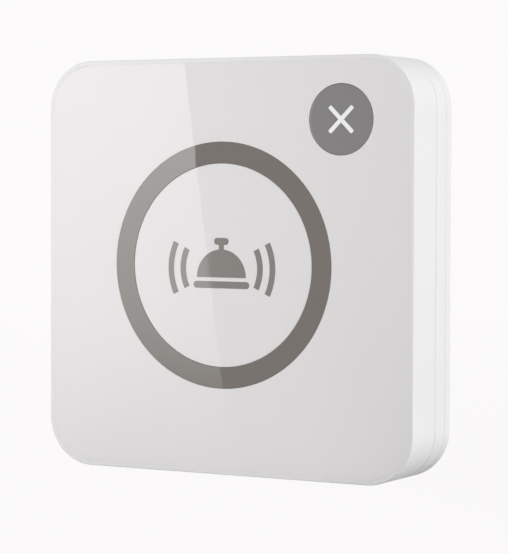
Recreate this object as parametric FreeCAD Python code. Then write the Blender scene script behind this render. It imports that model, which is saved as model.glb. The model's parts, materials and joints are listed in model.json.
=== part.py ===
import FreeCAD, Part
import math
import os

# Waiter call button: a two-key wireless call button in a square case on a wall plate.
# Millimetres. The front faces -Y and the case stands on its lower edge, at Z = 0.
# A depth is a distance behind the front face. The origin is under the middle of the case.

# --- Case ---------------------------------------------------------------------------------
face_width = 86.0
face_height = 86.0
corner_radius = 10.2
seam_behind_board = 0.7
cell_room = 0.2
case_wall = 1.8
panel_thickness = 1.6
back_thickness = 1.6
rim_width = 0.9
rim_bevel = 0.3
seam_bevel = 0.2
tongue_height = 1.0
tongue_thickness = 0.8
tongue_gap = 0.08

# --- Face plate and its tape --------------------------------------------------------------
plate_thickness = 1.6
plate_gap = 0.05
tape_thickness = 0.2
tape_margin = 1.0
tape_width = 6.0

# --- Keys, light ring and what carries them -----------------------------------------------
ring_offset_x = -0.7
ring_offset_z = 0.3
ring_outer_radius = 25.55
ring_inner_radius = 21.05
cancel_from_side = 16.2
cancel_from_top = 12.9
cancel_radius = 7.15
key_thickness = 1.4
key_travel = 0.6
bond_gap = 0.05
run_gap = 0.08
pad_height = 2.4
pad_gap = 0.02
floor_thickness = 1.0
skirt_clearance = 0.2
stem_hole_gap = 0.6
hook_gap = 0.05
hook_catch = 0.7
hook_head_height = 0.9
hook_clearance = 0.15
call_skirt_wall = 1.2
call_stem_width = 4.8
call_hook_count = 3
call_hook_radius = 17.6
call_hook_thickness = 1.2
call_hook_width = 4.5
call_rib_count = 6
call_rib_width = 1.0
call_rib_height = 0.9
call_rib_start = 11.0
call_pad_count = 3
call_pad_start = 30.0
call_pad_inner = 11.5
call_pad_outer = 15.0
call_pad_width = 8.0
cancel_skirt_wall = 0.9
cancel_stem_width = 3.0
cancel_hook_count = 2
cancel_hook_radius = 4.7
cancel_hook_thickness = 0.8
cancel_hook_width = 2.6
cancel_pad_count = 2
cancel_pad_start = 0.0
cancel_pad_inner = 2.6
cancel_pad_outer = 5.2
cancel_pad_width = 4.0
cancel_well_wall = 1.2
stem_rib = 1.2
ring_lug_count = 4
ring_lug_reach = 3.0
ring_lug_width = 6.0
clip_gap = 0.1
clip_thickness = 1.0
clip_width = 4.0
clip_catch = 0.8
clip_head_height = 0.9

# --- Board and what it carries ------------------------------------------------------------
board_thickness = 1.2
board_edge_gap = 0.5
switch_clearance = 0.3
switch_width = 6.0
switch_body_height = 3.5
switch_cover_thickness = 0.3
switch_lug_width = 1.6
switch_lug_height = 1.2
plunger_projection = 0.8
plunger_width = 3.0
plunger_length = 2.2
led_count = 8
led_length = 2.8
led_width = 1.6
led_height = 0.8
chip_height = 1.5
chip_width = 3.9
chip_overhang = 0.4
foot_reach = 1.05
foot_width = 0.4
foot_thickness = 0.25
foot_pitch = 1.27
chips_from_side = 19.0
controller_offset_z = 4.0
controller_feet = 5
radio_offset_z = 4.0
radio_feet = 4
crystal_offset_z = -8.0
crystal_length = 10.2
crystal_width = 4.6
crystal_height = 3.0
capacitor_offset_z = -8.0
capacitor_radius = 2.5
capacitor_height = 3.0
capacitor_base = 5.6
capacitor_base_height = 0.5
chip_capacitor_length = 2.0
chip_capacitor_width = 1.25
chip_capacitor_height = 0.8
chip_capacitor_pitch = 4.0
chip_capacitor_offset_z = 17.0
antenna_x = -8.0
antenna_offset_z = 34.6
antenna_length = 26.0
antenna_thickness = 0.4
antenna_bar_width = 1.8
antenna_leg_width = 1.5
antenna_leg_spacing = 5.0
antenna_height = 4.2

# --- Coin cell, its holder and its cover --------------------------------------------------
cover_offset_z = -10.0
cell_radius = 10.0
cell_thickness = 3.2
contact_thickness = 0.3
contact_width = 4.0
contact_length = 14.0
contact_gap = 0.05
holder_gap = 0.15
holder_size = 22.4
holder_height = 2.0
holder_window = 9.0
cover_radius = 13.4
cover_gap = 0.08
cover_flange = 1.0
cover_leg_radius = 11.4
cover_leg_wall = 1.0
coin_slot_length = 14.0
coin_slot_width = 1.8
coin_slot_depth = 0.6
collar_depth = 0.8
collar_width = 3.2
lug_count = 3
lug_reach = 1.2
lug_height = 0.6
lug_gap = 0.06
lug_angle = 22.0
lug_notch_margin = 5.0
cover_turn = 60.0

# --- What holds the board and the shells --------------------------------------------------------------
screw_shank_radius = 0.9
screw_hole_gap = 0.05
screw_pass_gap = 0.3
screw_head_radius = 1.9
screw_head_height = 1.2
screw_head_sink = 0.25
case_screw_length = 7.0
screw_bottom_gap = 0.4
boss_inset = 6.8
boss_radius = 2.6
boss_proud = 0.5
post_radius = 3.3
gusset_thickness = 0.9
gusset_drop = 1.2
board_post_from_side = 8.0
board_post_z = 14.0
board_post_width = 3.2
board_clip_thickness = 0.9
board_clip_width = 2.4
board_clip_catch = 0.6
board_clip_head = 0.9
tab_from_side = 12.0
tab_width = 3.0
tab_thickness = 1.1
tab_gap = 0.1
tab_reach = 2.7
tab_nib = 0.6
tab_nib_height = 0.8

# --- Wall plate ---------------------------------------------------------------------------
plate_seam = 0.2
wall_plate_depth = 2.7
wall_plate_wall = 1.6
wall_plate_back = 1.6
wall_edge_bevel = 0.5
wall_rib_height = 0.9
wall_rib_width = 1.2
wall_rib_offset = 16.0
wall_screw_spacing = 60.0
wall_screw_radius = 2.2
hook_from_side = 19.0
hook_from_top = 19.0
hook_from_bottom = 17.0
hook_width = 6.0
hook_neck = 1.8
hook_rise = 2.4
hook_plate = 1.1
hook_back_gap = 0.1
hook_side_gap = 0.3
hook_rest_gap = 0.05
lift_travel = 3.0
lift_margin = 0.15
back_rib_height = 0.8
back_rib_width = 1.0
back_rib_from_side = 12.5
back_rib_margin = 12.0

# --- Places worked out from the values above ----------------------------------------------
middle_z = face_height / 2
ring_x = ring_offset_x
ring_z = middle_z + ring_offset_z
cancel_x = face_width / 2 - cancel_from_side
cancel_z = face_height - cancel_from_top
chips_x = face_width / 2 - chips_from_side
tab_x = face_width / 2 - tab_from_side
hook_x = face_width / 2 - hook_from_side
back_rib_x = face_width / 2 - back_rib_from_side
panel_front = plate_thickness + tape_thickness
panel_back = panel_front + panel_thickness
floor_front = key_thickness + pad_height
floor_back = floor_front + floor_thickness
skirt_end = floor_front - key_travel - skirt_clearance
switch_front = floor_back + switch_clearance
board_front = switch_front + switch_body_height
board_back = board_front + board_thickness
plunger_front = switch_front - plunger_projection
cell_front = board_back + contact_thickness
cell_back = cell_front + cell_thickness
front_shell_depth = board_back + seam_behind_board
boss_end_depth = front_shell_depth + boss_proud
back_front = cell_back + cell_room
housing_depth = back_front + back_thickness
total_depth = housing_depth + plate_seam + wall_plate_depth
cover_z = middle_z + cover_offset_z
cover_flange_front = housing_depth - cover_flange
collar_front = back_front - collar_depth
screw_seat = housing_depth - screw_head_height - screw_head_sink
wall_plate_front = housing_depth + plate_seam
wall_plate_floor = total_depth - wall_plate_back
light_radius = (ring_inner_radius + ring_outer_radius) / 2
screw_posts = [(side * (face_width / 2 - boss_inset), boss_inset) for side in (-1, 1)]
board_post_x = face_width / 2 - board_post_from_side
board_posts = [
    (side * board_post_x, middle_z + end * board_post_z) for side in (-1, 1) for end in (-1, 1)
]
plate_hooks = [
    (side * hook_x, z) for side in (-1, 1) for z in (hook_from_bottom, face_height - hook_from_top)
]

back_axis = FreeCAD.Vector(0, 1, 0)
over_cut = 1.0


# --- Shape helpers ------------------------------------------------------------------------
def at(x, depth, z):
    """A point in the part's frame, from its depth behind the front face."""
    return FreeCAD.Vector(x, depth - total_depth / 2, z)


def disc(x, z, radius, front, back):
    """Round bar along the press direction."""
    return Part.makeCylinder(radius, back - front, at(x, front, z), back_axis)


def block(x, z, width, height, front, back):
    """Box centred on x, z."""
    corner = at(x - width / 2, front, z - height / 2)
    return Part.makeBox(width, back - front, height, corner)


def press_edges(shape):
    """Edges that run along the press direction."""
    return [edge for edge in shape.Edges if abs(edge.tangentAt(edge.FirstParameter).y) > 0.9]


def edges_at(shape, depth):
    """Edges that lie in one plane behind the front face."""
    y = depth - total_depth / 2
    tolerance = 0.001
    return [
        edge
        for edge in shape.Edges
        if abs(edge.BoundBox.YMin - y) < tolerance and abs(edge.BoundBox.YMax - y) < tolerance
    ]


def slab(inset, front, back):
    """Slab with the case's rounded-square outline, drawn in by an inset."""
    box = block(0, middle_z, face_width - 2 * inset, face_height - 2 * inset, front, back)
    return box.makeFillet(corner_radius - inset, press_edges(box))


def turned(x, z, profile):
    """Solid of revolution about the press axis through x, z, from (radius, depth) corners."""
    corners = [at(x + radius, depth, z) for radius, depth in profile]
    face = Part.Face(Part.makePolygon(corners + corners[:1]))
    return face.revolve(at(x, 0, z), back_axis, 360)


def around(shape, x, z, count, start=0.0):
    """Copies of a shape, evenly turned about the press axis through x, z."""
    copies = []
    for step in range(count):
        copy = shape.copy()
        copy.rotate(at(x, 0, z), back_axis, start + step * 360.0 / count)
        copies.append(copy)
    return copies


def spoke(x, z, inner, outer, width, front, back):
    """Box that reaches outwards along +X, between two distances from x, z."""
    return block(x + (inner + outer) / 2, z, outer - inner, width, front, back)


def snap_hook(x, z, face_radius, thickness, width, root, seat, catch, head_height):
    """Leg from a root depth to a snap head; the head's flat side faces forward, at the seat.

    The leg's gripping side is at face_radius. A positive catch reaches outwards, a negative
    one inwards.
    """
    head_back = seat + head_height
    behind = face_radius - math.copysign(thickness, catch)
    leg = spoke(
        x, z, min(face_radius, behind), max(face_radius, behind), width, root, head_back
    )
    corners = [
        at(x + face_radius, seat, z - width / 2),
        at(x + face_radius + catch, seat, z - width / 2),
        at(x + face_radius, head_back, z - width / 2),
    ]
    head = Part.Face(Part.makePolygon(corners + corners[:1])).extrude(FreeCAD.Vector(0, 0, width))
    return leg.fuse(head)


def save(name, *solids):
    """Write one node's solids to its STEP file."""
    clean = [solid.removeSplitter() for solid in solids]
    shape = clean[0] if len(clean) == 1 else Part.makeCompound(clean)
    shape.exportStep("parts/" + name + ".step")


# --- Keys and the floors that they slide in -----------------------------------------------
def key_body(x, z, radius, skirt_wall, stem_width):
    """Key cap with its skirt and the cross-shaped stem that reaches its switch."""
    inside = radius - skirt_wall
    cap = turned(x, z, [
        (0, 0),
        (radius, 0),
        (radius, skirt_end),
        (inside, skirt_end),
        (inside, key_thickness),
        (0, key_thickness),
    ])
    upright = block(x, z, stem_rib, stem_width, key_thickness / 2, plunger_front)
    across = block(x, z, stem_width, stem_rib, key_thickness / 2, plunger_front)
    return cap.fuse([upright, across])


def key_hooks(x, z, radius, thickness, width, count):
    """Snap legs of a key, with heads that catch behind its floor."""
    seat = floor_back + hook_gap
    leg = snap_hook(x, z, radius, thickness, width, key_thickness, seat, hook_catch, hook_head_height)
    return around(leg, x, z, count, 90)


def floor_cuts(x, z, stem_width, radius, thickness, width, count):
    """Hole for a key's stem and slots for its snap legs."""
    slot = spoke(
        x,
        z,
        radius - thickness - hook_clearance,
        radius + hook_clearance,
        width + 2 * hook_clearance,
        floor_front - over_cut,
        floor_back + over_cut,
    )
    hole_width = stem_width + 2 * stem_hole_gap
    hole = block(x, z, hole_width, hole_width, floor_front - over_cut, floor_back + over_cut)
    return around(slot, x, z, count, 90) + [hole]


def call_key():
    radius = ring_inner_radius - run_gap
    inside = radius - call_skirt_wall
    rib_back = key_thickness + call_rib_height
    rib = spoke(
        ring_x,
        ring_z,
        call_rib_start,
        inside + call_skirt_wall / 2,
        call_rib_width,
        key_thickness / 2,
        rib_back,
    )
    hooks = key_hooks(
        ring_x, ring_z, call_hook_radius, call_hook_thickness, call_hook_width, call_hook_count
    )
    ribs = around(rib, ring_x, ring_z, call_rib_count, 0)
    return key_body(ring_x, ring_z, radius, call_skirt_wall, call_stem_width).fuse(hooks + ribs)


def cancel_key():
    body = key_body(cancel_x, cancel_z, cancel_radius, cancel_skirt_wall, cancel_stem_width)
    return body.fuse(key_hooks(
        cancel_x,
        cancel_z,
        cancel_hook_radius,
        cancel_hook_thickness,
        cancel_hook_width,
        cancel_hook_count,
    ))


def return_pads(x, z, inner, outer, width, count, start):
    """Silicone pads between a key and its floor, which lift the key again."""
    pad = spoke(x, z, inner, outer, width, key_thickness + pad_gap, floor_front - pad_gap)
    return around(pad, x, z, count, start)


# --- Front --------------------------------------------------------------------------------
def face_openings(front, back):
    """Clear holes for the light ring and for the CANCEL key."""
    return [
        disc(ring_x, ring_z, ring_outer_radius, front, back),
        disc(cancel_x, cancel_z, cancel_radius + run_gap, front, back),
    ]


def face_plate():
    plate = slab(rim_width + plate_gap, 0, plate_thickness)
    return plate.cut(face_openings(-over_cut, plate_thickness + over_cut))


def face_tape():
    """Four strips of double-sided tape behind the face plate's edges."""
    inset = rim_width + plate_gap + tape_margin
    side_length = face_height - 2 * corner_radius
    end_length = face_width - 2 * corner_radius
    side_x = face_width / 2 - inset - tape_width / 2
    end_z = face_height / 2 - inset - tape_width / 2
    gap_to_key = cancel_z - cancel_radius - run_gap - tape_margin
    bottom = middle_z - side_length / 2
    right_length = gap_to_key - bottom
    top_left = -end_length / 2
    top_length = cancel_x - cancel_radius - run_gap - tape_margin - top_left
    strips = [
        (-side_x, middle_z, tape_width, side_length),
        (side_x, bottom + right_length / 2, tape_width, right_length),
        (0, middle_z - end_z, end_length, tape_width),
        (top_left + top_length / 2, middle_z + end_z, top_length, tape_width),
    ]
    return [block(x, z, w, h, plate_thickness, panel_front) for x, z, w, h in strips]


def light_ring():
    """Smoked ring, with the cup that carries the CALL key and four lugs behind the panel."""
    outer = ring_outer_radius - bond_gap
    cup = turned(ring_x, ring_z, [
        (ring_inner_radius, 0),
        (outer, 0),
        (outer, floor_back),
        (0, floor_back),
        (0, floor_front),
        (ring_inner_radius, floor_front),
    ])
    lug = spoke(
        ring_x,
        ring_z,
        light_radius,
        ring_outer_radius + ring_lug_reach,
        ring_lug_width,
        panel_back,
        floor_back,
    )
    cup = cup.fuse(around(lug, ring_x, ring_z, ring_lug_count, 45))
    return cup.cut(floor_cuts(
        ring_x,
        ring_z,
        call_stem_width,
        call_hook_radius,
        call_hook_thickness,
        call_hook_width,
        call_hook_count,
    ))


def ring_clips():
    """Snap clips of the front shell that hold the light ring's lugs."""
    radius = ring_outer_radius + ring_lug_reach + clip_gap
    clip = snap_hook(
        ring_x,
        ring_z,
        radius,
        clip_thickness,
        clip_width,
        panel_front,
        floor_back + hook_gap,
        -clip_catch,
        clip_head_height,
    )
    return around(clip, ring_x, ring_z, ring_lug_count, 45)


def cancel_well():
    """Tube and floor in the front shell that carry the CANCEL key."""
    inner = cancel_radius + run_gap
    well = turned(cancel_x, cancel_z, [
        (inner, panel_front),
        (inner + cancel_well_wall, panel_front),
        (inner + cancel_well_wall, floor_back),
        (0, floor_back),
        (0, floor_front),
        (inner, floor_front),
    ])
    return well.cut(floor_cuts(
        cancel_x,
        cancel_z,
        cancel_stem_width,
        cancel_hook_radius,
        cancel_hook_thickness,
        cancel_hook_width,
        cancel_hook_count,
    ))


def gussets(x, z):
    """Two ribs from a corner boss to the case walls beside it."""
    out_x = math.copysign(1, x)
    out_z = math.copysign(1, z - middle_z)
    reach = boss_inset - case_wall / 2
    back = front_shell_depth - tongue_height - gusset_drop
    to_side = block(x + out_x * reach / 2, z, reach, gusset_thickness, panel_front, back)
    to_end = block(x, z + out_z * reach / 2, gusset_thickness, reach, panel_front, back)
    return [to_side, to_end]


def board_post(x, z):
    """Post that the board rests on, with a snap leg that reaches through the board."""
    side = math.copysign(1, x)
    post = block(x, z, board_post_width, board_post_width, panel_front, board_front)
    leg_x = x + board_clip_thickness / 2
    seat = board_back + hook_gap
    leg = snap_hook(
        leg_x,
        z,
        0,
        board_clip_thickness,
        board_clip_width,
        board_front - over_cut,
        seat,
        board_clip_catch,
        board_clip_head,
    )
    if side < 0:
        leg = leg.mirror(at(x, 0, z), FreeCAD.Vector(1, 0, 0))
    return post.fuse(leg)


def tab_nib_block(side, gap):
    """Nib of a rear-shell tab, or with a gap the pocket that it snaps into."""
    top = face_height - case_wall
    front = front_shell_depth - tab_reach
    back = front + tab_nib_height
    height = 2 * tab_nib + 2 * gap
    width = tab_width + 2 * gap
    return block(side * tab_x, top, width, height, front - gap, back + gap)


def front_shell():
    body = slab(0, 0, front_shell_depth)
    body = body.makeChamfer(rim_bevel, edges_at(body, 0))
    step = case_wall - tongue_thickness - tongue_gap
    step_front = front_shell_depth - tongue_height - tongue_gap
    body = body.cut([
        slab(rim_width, -over_cut, panel_front),
        slab(case_wall, panel_back, front_shell_depth + over_cut),
        slab(step, step_front, front_shell_depth + over_cut),
    ])
    body = body.cut(face_openings(0, board_front))
    added = [cancel_well()] + ring_clips()
    for x, z in screw_posts:
        added.append(disc(x, z, boss_radius, panel_front, boss_end_depth))
        added += gussets(x, z)
    for x, z in board_posts:
        added.append(board_post(x, z))
    body = body.fuse(added)
    cuts = []
    for x, z in screw_posts:
        hole = screw_shank_radius + screw_hole_gap
        bottom = screw_seat - case_screw_length - screw_bottom_gap
        cuts.append(disc(x, z, hole, bottom, boss_end_depth + over_cut))
    for side in (-1, 1):
        cuts.append(tab_nib_block(side, run_gap))
    return body.cut(cuts)


# --- Board --------------------------------------------------------------------------------
def main_board():
    """Board with cropped corners, and slots for the snap legs that hold it."""
    inset = case_wall + board_edge_gap
    width = face_width - 2 * inset
    height = face_height - 2 * inset
    boss_reach = boss_radius + board_edge_gap
    crop = 2 * (boss_inset - inset) + math.sqrt(2) * boss_reach
    board = block(0, middle_z, width, height, board_front, board_back)
    board = board.makeChamfer(crop, press_edges(board))
    slot_length = board_clip_width + 2 * hook_clearance
    slot_width = board_clip_thickness + board_clip_catch + 2 * hook_clearance
    slots = []
    for x, z in board_posts:
        slot_x = x + math.copysign(board_clip_catch / 2, x)
        slots.append(block(
            slot_x, z, slot_width, slot_length, board_front - over_cut, board_back + over_cut
        ))
    return board.cut(slots)


def switch_base(x, z):
    front = switch_front + switch_cover_thickness
    base = block(x, z, switch_width, switch_width, front, board_front)
    bore_width = plunger_width + 2 * run_gap
    bore_back = plunger_front + plunger_length + key_travel + run_gap
    return base.cut(block(x, z, bore_width, bore_width, front - over_cut, bore_back))


def switch_cover(x, z):
    """Metal cover of a switch, with a lug bent down on each side."""
    back = switch_front + switch_cover_thickness
    outside = switch_width + 2 * switch_cover_thickness
    strap = block(x, z, outside, switch_lug_width, switch_front, back + switch_lug_height)
    strap = strap.cut(block(x, z, switch_width, switch_width, back, board_front))
    cover = strap.fuse(block(x, z, switch_width, switch_width, switch_front, back))
    hole_width = plunger_width + 2 * run_gap
    hole = block(x, z, hole_width, hole_width, switch_front - over_cut, back + over_cut)
    return cover.cut(hole)


def switch_plunger(x, z):
    return block(x, z, plunger_width, plunger_width, plunger_front, plunger_front + plunger_length)


def ring_leds():
    lamp = block(
        ring_x + light_radius, ring_z, led_width, led_length, board_front - led_height, board_front
    )
    return around(lamp, ring_x, ring_z, led_count, 180.0 / led_count)


def chip(x, z, feet):
    """Flat chip on the back of the board, with a row of feet on each side."""
    length = (feet - 1) * foot_pitch + foot_width + 2 * chip_overhang
    feet_back = board_back + foot_thickness
    body = block(x, z, chip_width, length, feet_back, board_back + chip_height)
    pairs = []
    for step in range(feet):
        foot_z = z + (step - (feet - 1) / 2) * foot_pitch
        pairs.append(block(
            x, foot_z, chip_width + 2 * foot_reach, foot_width, board_back, feet_back
        ))
    return body.fuse(pairs)


def crystal():
    """Metal can with rounded ends."""
    z = middle_z + crystal_offset_z
    top = board_back + crystal_height
    middle = block(chips_x, z, crystal_length - crystal_width, crystal_width, board_back, top)
    reach = (crystal_length - crystal_width) / 2
    ends = [disc(chips_x + side * reach, z, crystal_width / 2, board_back, top) for side in (-1, 1)]
    return middle.fuse(ends)


def supply_capacitor():
    """Upright round capacitor on a square base."""
    z = middle_z + capacitor_offset_z
    base_back = board_back + capacitor_base_height
    base = block(-chips_x, z, capacitor_base, capacitor_base, board_back, base_back)
    return base.fuse(disc(-chips_x, z, capacitor_radius, base_back, board_back + capacitor_height))


def chip_capacitors():
    """Three small capacitors on each side of the board's middle."""
    z = middle_z + chip_capacitor_offset_z
    back = board_back + chip_capacitor_height
    solids = []
    for side_x in (-chips_x, chips_x):
        inwards = -math.copysign(chip_capacitor_pitch, side_x)
        for step in range(3):
            x = side_x + inwards * step
            solids.append(block(x, z, chip_capacitor_width, chip_capacitor_length, board_back, back))
    return solids


def antenna():
    """Stamped strip aerial that stands on the front of the board on two legs."""
    z = middle_z + antenna_offset_z
    bar_front = board_front - antenna_height
    bar_back = bar_front + antenna_bar_width
    bar = block(antenna_x, z, antenna_length, antenna_thickness, bar_front, bar_back)
    first_leg = antenna_x - antenna_length / 2 + antenna_leg_width / 2
    legs = [
        block(first_leg + step * antenna_leg_spacing, z, antenna_leg_width, antenna_thickness,
              bar_back, board_front)
        for step in range(2)
    ]
    return bar.fuse(legs)


# --- Coin cell and its cover --------------------------------------------------------------
def coin_cell():
    return disc(0, cover_z, cell_radius, cell_front, cell_back)


def battery_holder():
    """Four posts on the board's back that centre the cell."""
    back = board_back + holder_height
    through = 2 * holder_size
    frame = block(0, cover_z, holder_size, holder_size, board_back, back)
    return frame.cut([
        disc(0, cover_z, cell_radius + holder_gap, board_back - over_cut, back + over_cut),
        block(0, cover_z, through, holder_window, board_back - over_cut, back + over_cut),
        block(0, cover_z, holder_window, through, board_back - over_cut, back + over_cut),
    ])


def negative_contact():
    """Leaf under the middle of the cell."""
    back = cell_front - contact_gap
    strip = block(0, cover_z, contact_length, contact_width, board_back, back)
    return strip.fuse(block(0, cover_z, contact_width, 2 * contact_width, board_back, back))


def positive_contact():
    """Spring clip against the side of the cell, in the holder's window."""
    touch = cell_radius + contact_gap
    foot_back = board_back + contact_thickness
    arm_back = board_back + holder_height
    foot_end = touch + contact_width
    arm = spoke(0, cover_z, touch, touch + contact_thickness, contact_width, board_back, arm_back)
    return arm.fuse(spoke(0, cover_z, touch, foot_end, contact_width, board_back, foot_back))


def ring_segments(inner, outer, front, back, angle, start):
    """Evenly spaced arcs of a ring about the cover's axis."""
    ring = disc(0, cover_z, outer, front, back)
    ring = ring.cut(disc(0, cover_z, inner, front - over_cut, back + over_cut))
    half = math.radians(angle / 2)
    reach = 2 * outer
    corners = [
        at(0, front, cover_z),
        at(reach * math.cos(half), front, cover_z + reach * math.sin(half)),
        at(reach * math.cos(half), front, cover_z - reach * math.sin(half)),
    ]
    outline = Part.Face(Part.makePolygon(corners + corners[:1]))
    wedge = outline.extrude(FreeCAD.Vector(0, back - front, 0))
    return around(ring.common(wedge), 0, cover_z, lug_count, start)


def battery_cover():
    """Round cover with a coin slot and three bayonet legs."""
    lug_back = collar_front - lug_gap
    lug_front = lug_back - lug_height
    inner = cover_leg_radius - cover_leg_wall
    cap = disc(0, cover_z, cover_radius, cover_flange_front, housing_depth)
    legs = ring_segments(
        inner, cover_leg_radius, lug_front, cover_flange_front, lug_angle, 90
    )
    lugs = ring_segments(inner, cover_leg_radius + lug_reach, lug_front, lug_back, lug_angle, 90)
    slot_front = housing_depth - coin_slot_depth
    slot = block(
        0, cover_z, coin_slot_length, coin_slot_width, slot_front, housing_depth + over_cut
    )
    return cap.fuse(legs + lugs).cut(slot)


# --- Back ---------------------------------------------------------------------------------
def screw(x, z, seat, length):
    """Pan-head screw driven from the back."""
    shank = disc(x, z, screw_shank_radius, seat - length, seat)
    return shank.fuse(disc(x, z, screw_head_radius, seat, seat + screw_head_height))


def hook_slot(x, z):
    """Slot in the back for one hook of the wall plate, long enough to lift off."""
    top = z + hook_neck / 2 + hook_rest_gap
    bottom = z - hook_neck / 2 - lift_travel - lift_margin
    width = hook_width + 2 * hook_side_gap
    return block(
        x, (top + bottom) / 2, width, top - bottom, back_front - over_cut, housing_depth + over_cut
    )


def shell_tab(side):
    """Tab inside the top of the rear shell, with a nib that snaps into the front shell."""
    top = face_height - case_wall - tab_gap
    middle = top - tab_thickness / 2
    front = front_shell_depth - tab_reach
    leg = block(side * tab_x, middle, tab_width, tab_thickness, front, back_front)
    nib = tab_nib_block(side, 0)
    root_height = tab_thickness + 2 * tab_gap
    root = block(
        side * tab_x, middle + tab_gap, tab_width, root_height, front_shell_depth, back_front
    )
    return [leg, nib, root]


def rear_shell():
    body = slab(0, front_shell_depth, housing_depth)
    body = body.makeChamfer(seam_bevel, edges_at(body, housing_depth))
    tongue_front = front_shell_depth - tongue_height
    body = body.fuse(slab(case_wall - tongue_thickness, tongue_front, back_front))
    body = body.cut(slab(case_wall, tongue_front - over_cut, back_front))
    collar_size = 2 * (cover_leg_radius + collar_width)
    added = [block(0, cover_z, collar_size, collar_size, collar_front, back_front)]
    for x, z in screw_posts:
        added.append(disc(x, z, post_radius, boss_end_depth, back_front))
    for side in (-1, 1):
        added += shell_tab(side)
    rib_length = face_height - 2 * case_wall - 2 * back_rib_margin
    rib_front = back_front - back_rib_height
    for side in (-1, 1):
        added.append(block(
            side * back_rib_x, middle_z, back_rib_width, rib_length, rib_front, back_front
        ))
    body = body.fuse(added)
    cuts = [
        disc(0, cover_z, cover_radius + cover_gap, cover_flange_front, housing_depth + over_cut),
        disc(0, cover_z, cover_leg_radius + cover_gap, collar_front - over_cut, housing_depth),
    ]
    cuts += ring_segments(
        cover_leg_radius / 2,
        cover_leg_radius + lug_reach + cover_gap,
        collar_front - over_cut,
        cover_flange_front,
        lug_angle + lug_notch_margin,
        90 + cover_turn,
    )
    for x, z in screw_posts:
        shank_hole = screw_shank_radius + screw_pass_gap
        head_hole = screw_head_radius + screw_pass_gap
        cuts.append(disc(x, z, shank_hole, boss_end_depth - over_cut, screw_seat))
        cuts.append(disc(x, z, head_hole, screw_seat, housing_depth + over_cut))
    cuts += [hook_slot(x, z) for x, z in plate_hooks]
    return body.cut(cuts)


def plate_hook(x, z):
    """Hook that stands forward from the wall plate, with its lip pointing up."""
    lip_back = back_front - hook_back_gap
    lip_front = lip_back - hook_plate
    neck = block(x, z, hook_width, hook_neck, lip_front, wall_plate_floor + wall_plate_back / 2)
    lip_height = hook_neck + hook_rise
    return neck.fuse(block(x, z + hook_rise / 2, hook_width, lip_height, lip_front, lip_back))


def wall_plate():
    body = slab(0, wall_plate_front, total_depth)
    body = body.makeChamfer(wall_edge_bevel, edges_at(body, total_depth))
    body = body.cut(slab(wall_plate_wall, wall_plate_front - over_cut, wall_plate_floor))
    rib_height = face_height - wall_plate_wall
    rib_width = face_width - wall_plate_wall
    rib_front = wall_plate_floor - wall_rib_height
    added = [plate_hook(x, z) for x, z in plate_hooks]
    for side in (-1, 1):
        offset = side * wall_rib_offset
        added.append(block(
            offset, middle_z, wall_rib_width, rib_height, rib_front, wall_plate_floor
        ))
        added.append(block(
            0, middle_z + offset, rib_width, wall_rib_width, rib_front, wall_plate_floor
        ))
    body = body.fuse(added)
    holes = []
    for side in (-1, 1):
        x = side * wall_screw_spacing / 2
        front = wall_plate_floor - over_cut
        holes.append(disc(x, middle_z, wall_screw_radius, front, total_depth + over_cut))
    return body.cut(holes)


# --- Files --------------------------------------------------------------------------------
os.makedirs("parts", exist_ok=True)

save("face_plate", face_plate())
save("face_tape", *face_tape())
save("front_shell", front_shell())
save("light_ring", light_ring())
save("call_key", call_key())
save("call_return_pads", *return_pads(
    ring_x,
    ring_z,
    call_pad_inner,
    call_pad_outer,
    call_pad_width,
    call_pad_count,
    call_pad_start,
))
save("cancel_key", cancel_key())
save("cancel_return_pads", *return_pads(
    cancel_x,
    cancel_z,
    cancel_pad_inner,
    cancel_pad_outer,
    cancel_pad_width,
    cancel_pad_count,
    cancel_pad_start,
))
save("main_board", main_board())
for key_name, key_x, key_z in (("call", ring_x, ring_z), ("cancel", cancel_x, cancel_z)):
    save(key_name + "_switch_base", switch_base(key_x, key_z))
    save(key_name + "_switch_cover", switch_cover(key_x, key_z))
    save(key_name + "_switch_plunger", switch_plunger(key_x, key_z))
save("ring_leds", *ring_leds())
save("controller_chip", chip(-chips_x, middle_z + controller_offset_z, controller_feet))
save("radio_chip", chip(chips_x, middle_z + radio_offset_z, radio_feet))
save("crystal", crystal())
save("supply_capacitor", supply_capacitor())
save("chip_capacitors", *chip_capacitors())
save("antenna", antenna())
save("coin_cell", coin_cell())
save("battery_holder", *battery_holder().Solids)
save("negative_contact", negative_contact())
save("positive_contact", positive_contact())
save("battery_cover", battery_cover())
save("rear_shell", rear_shell())
save("case_screws", *[screw(x, z, screw_seat, case_screw_length) for x, z in screw_posts])
save("wall_plate", wall_plate())
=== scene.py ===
"""Waiter call button: the looks of every piece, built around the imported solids.

Depths are metres behind the front face, which looks towards -Y. Z is up.
"""

import json
import math

import bmesh
import bpy
from bpy.props import FloatProperty, FloatVectorProperty, PointerProperty
from mathutils import Matrix, Vector


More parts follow.
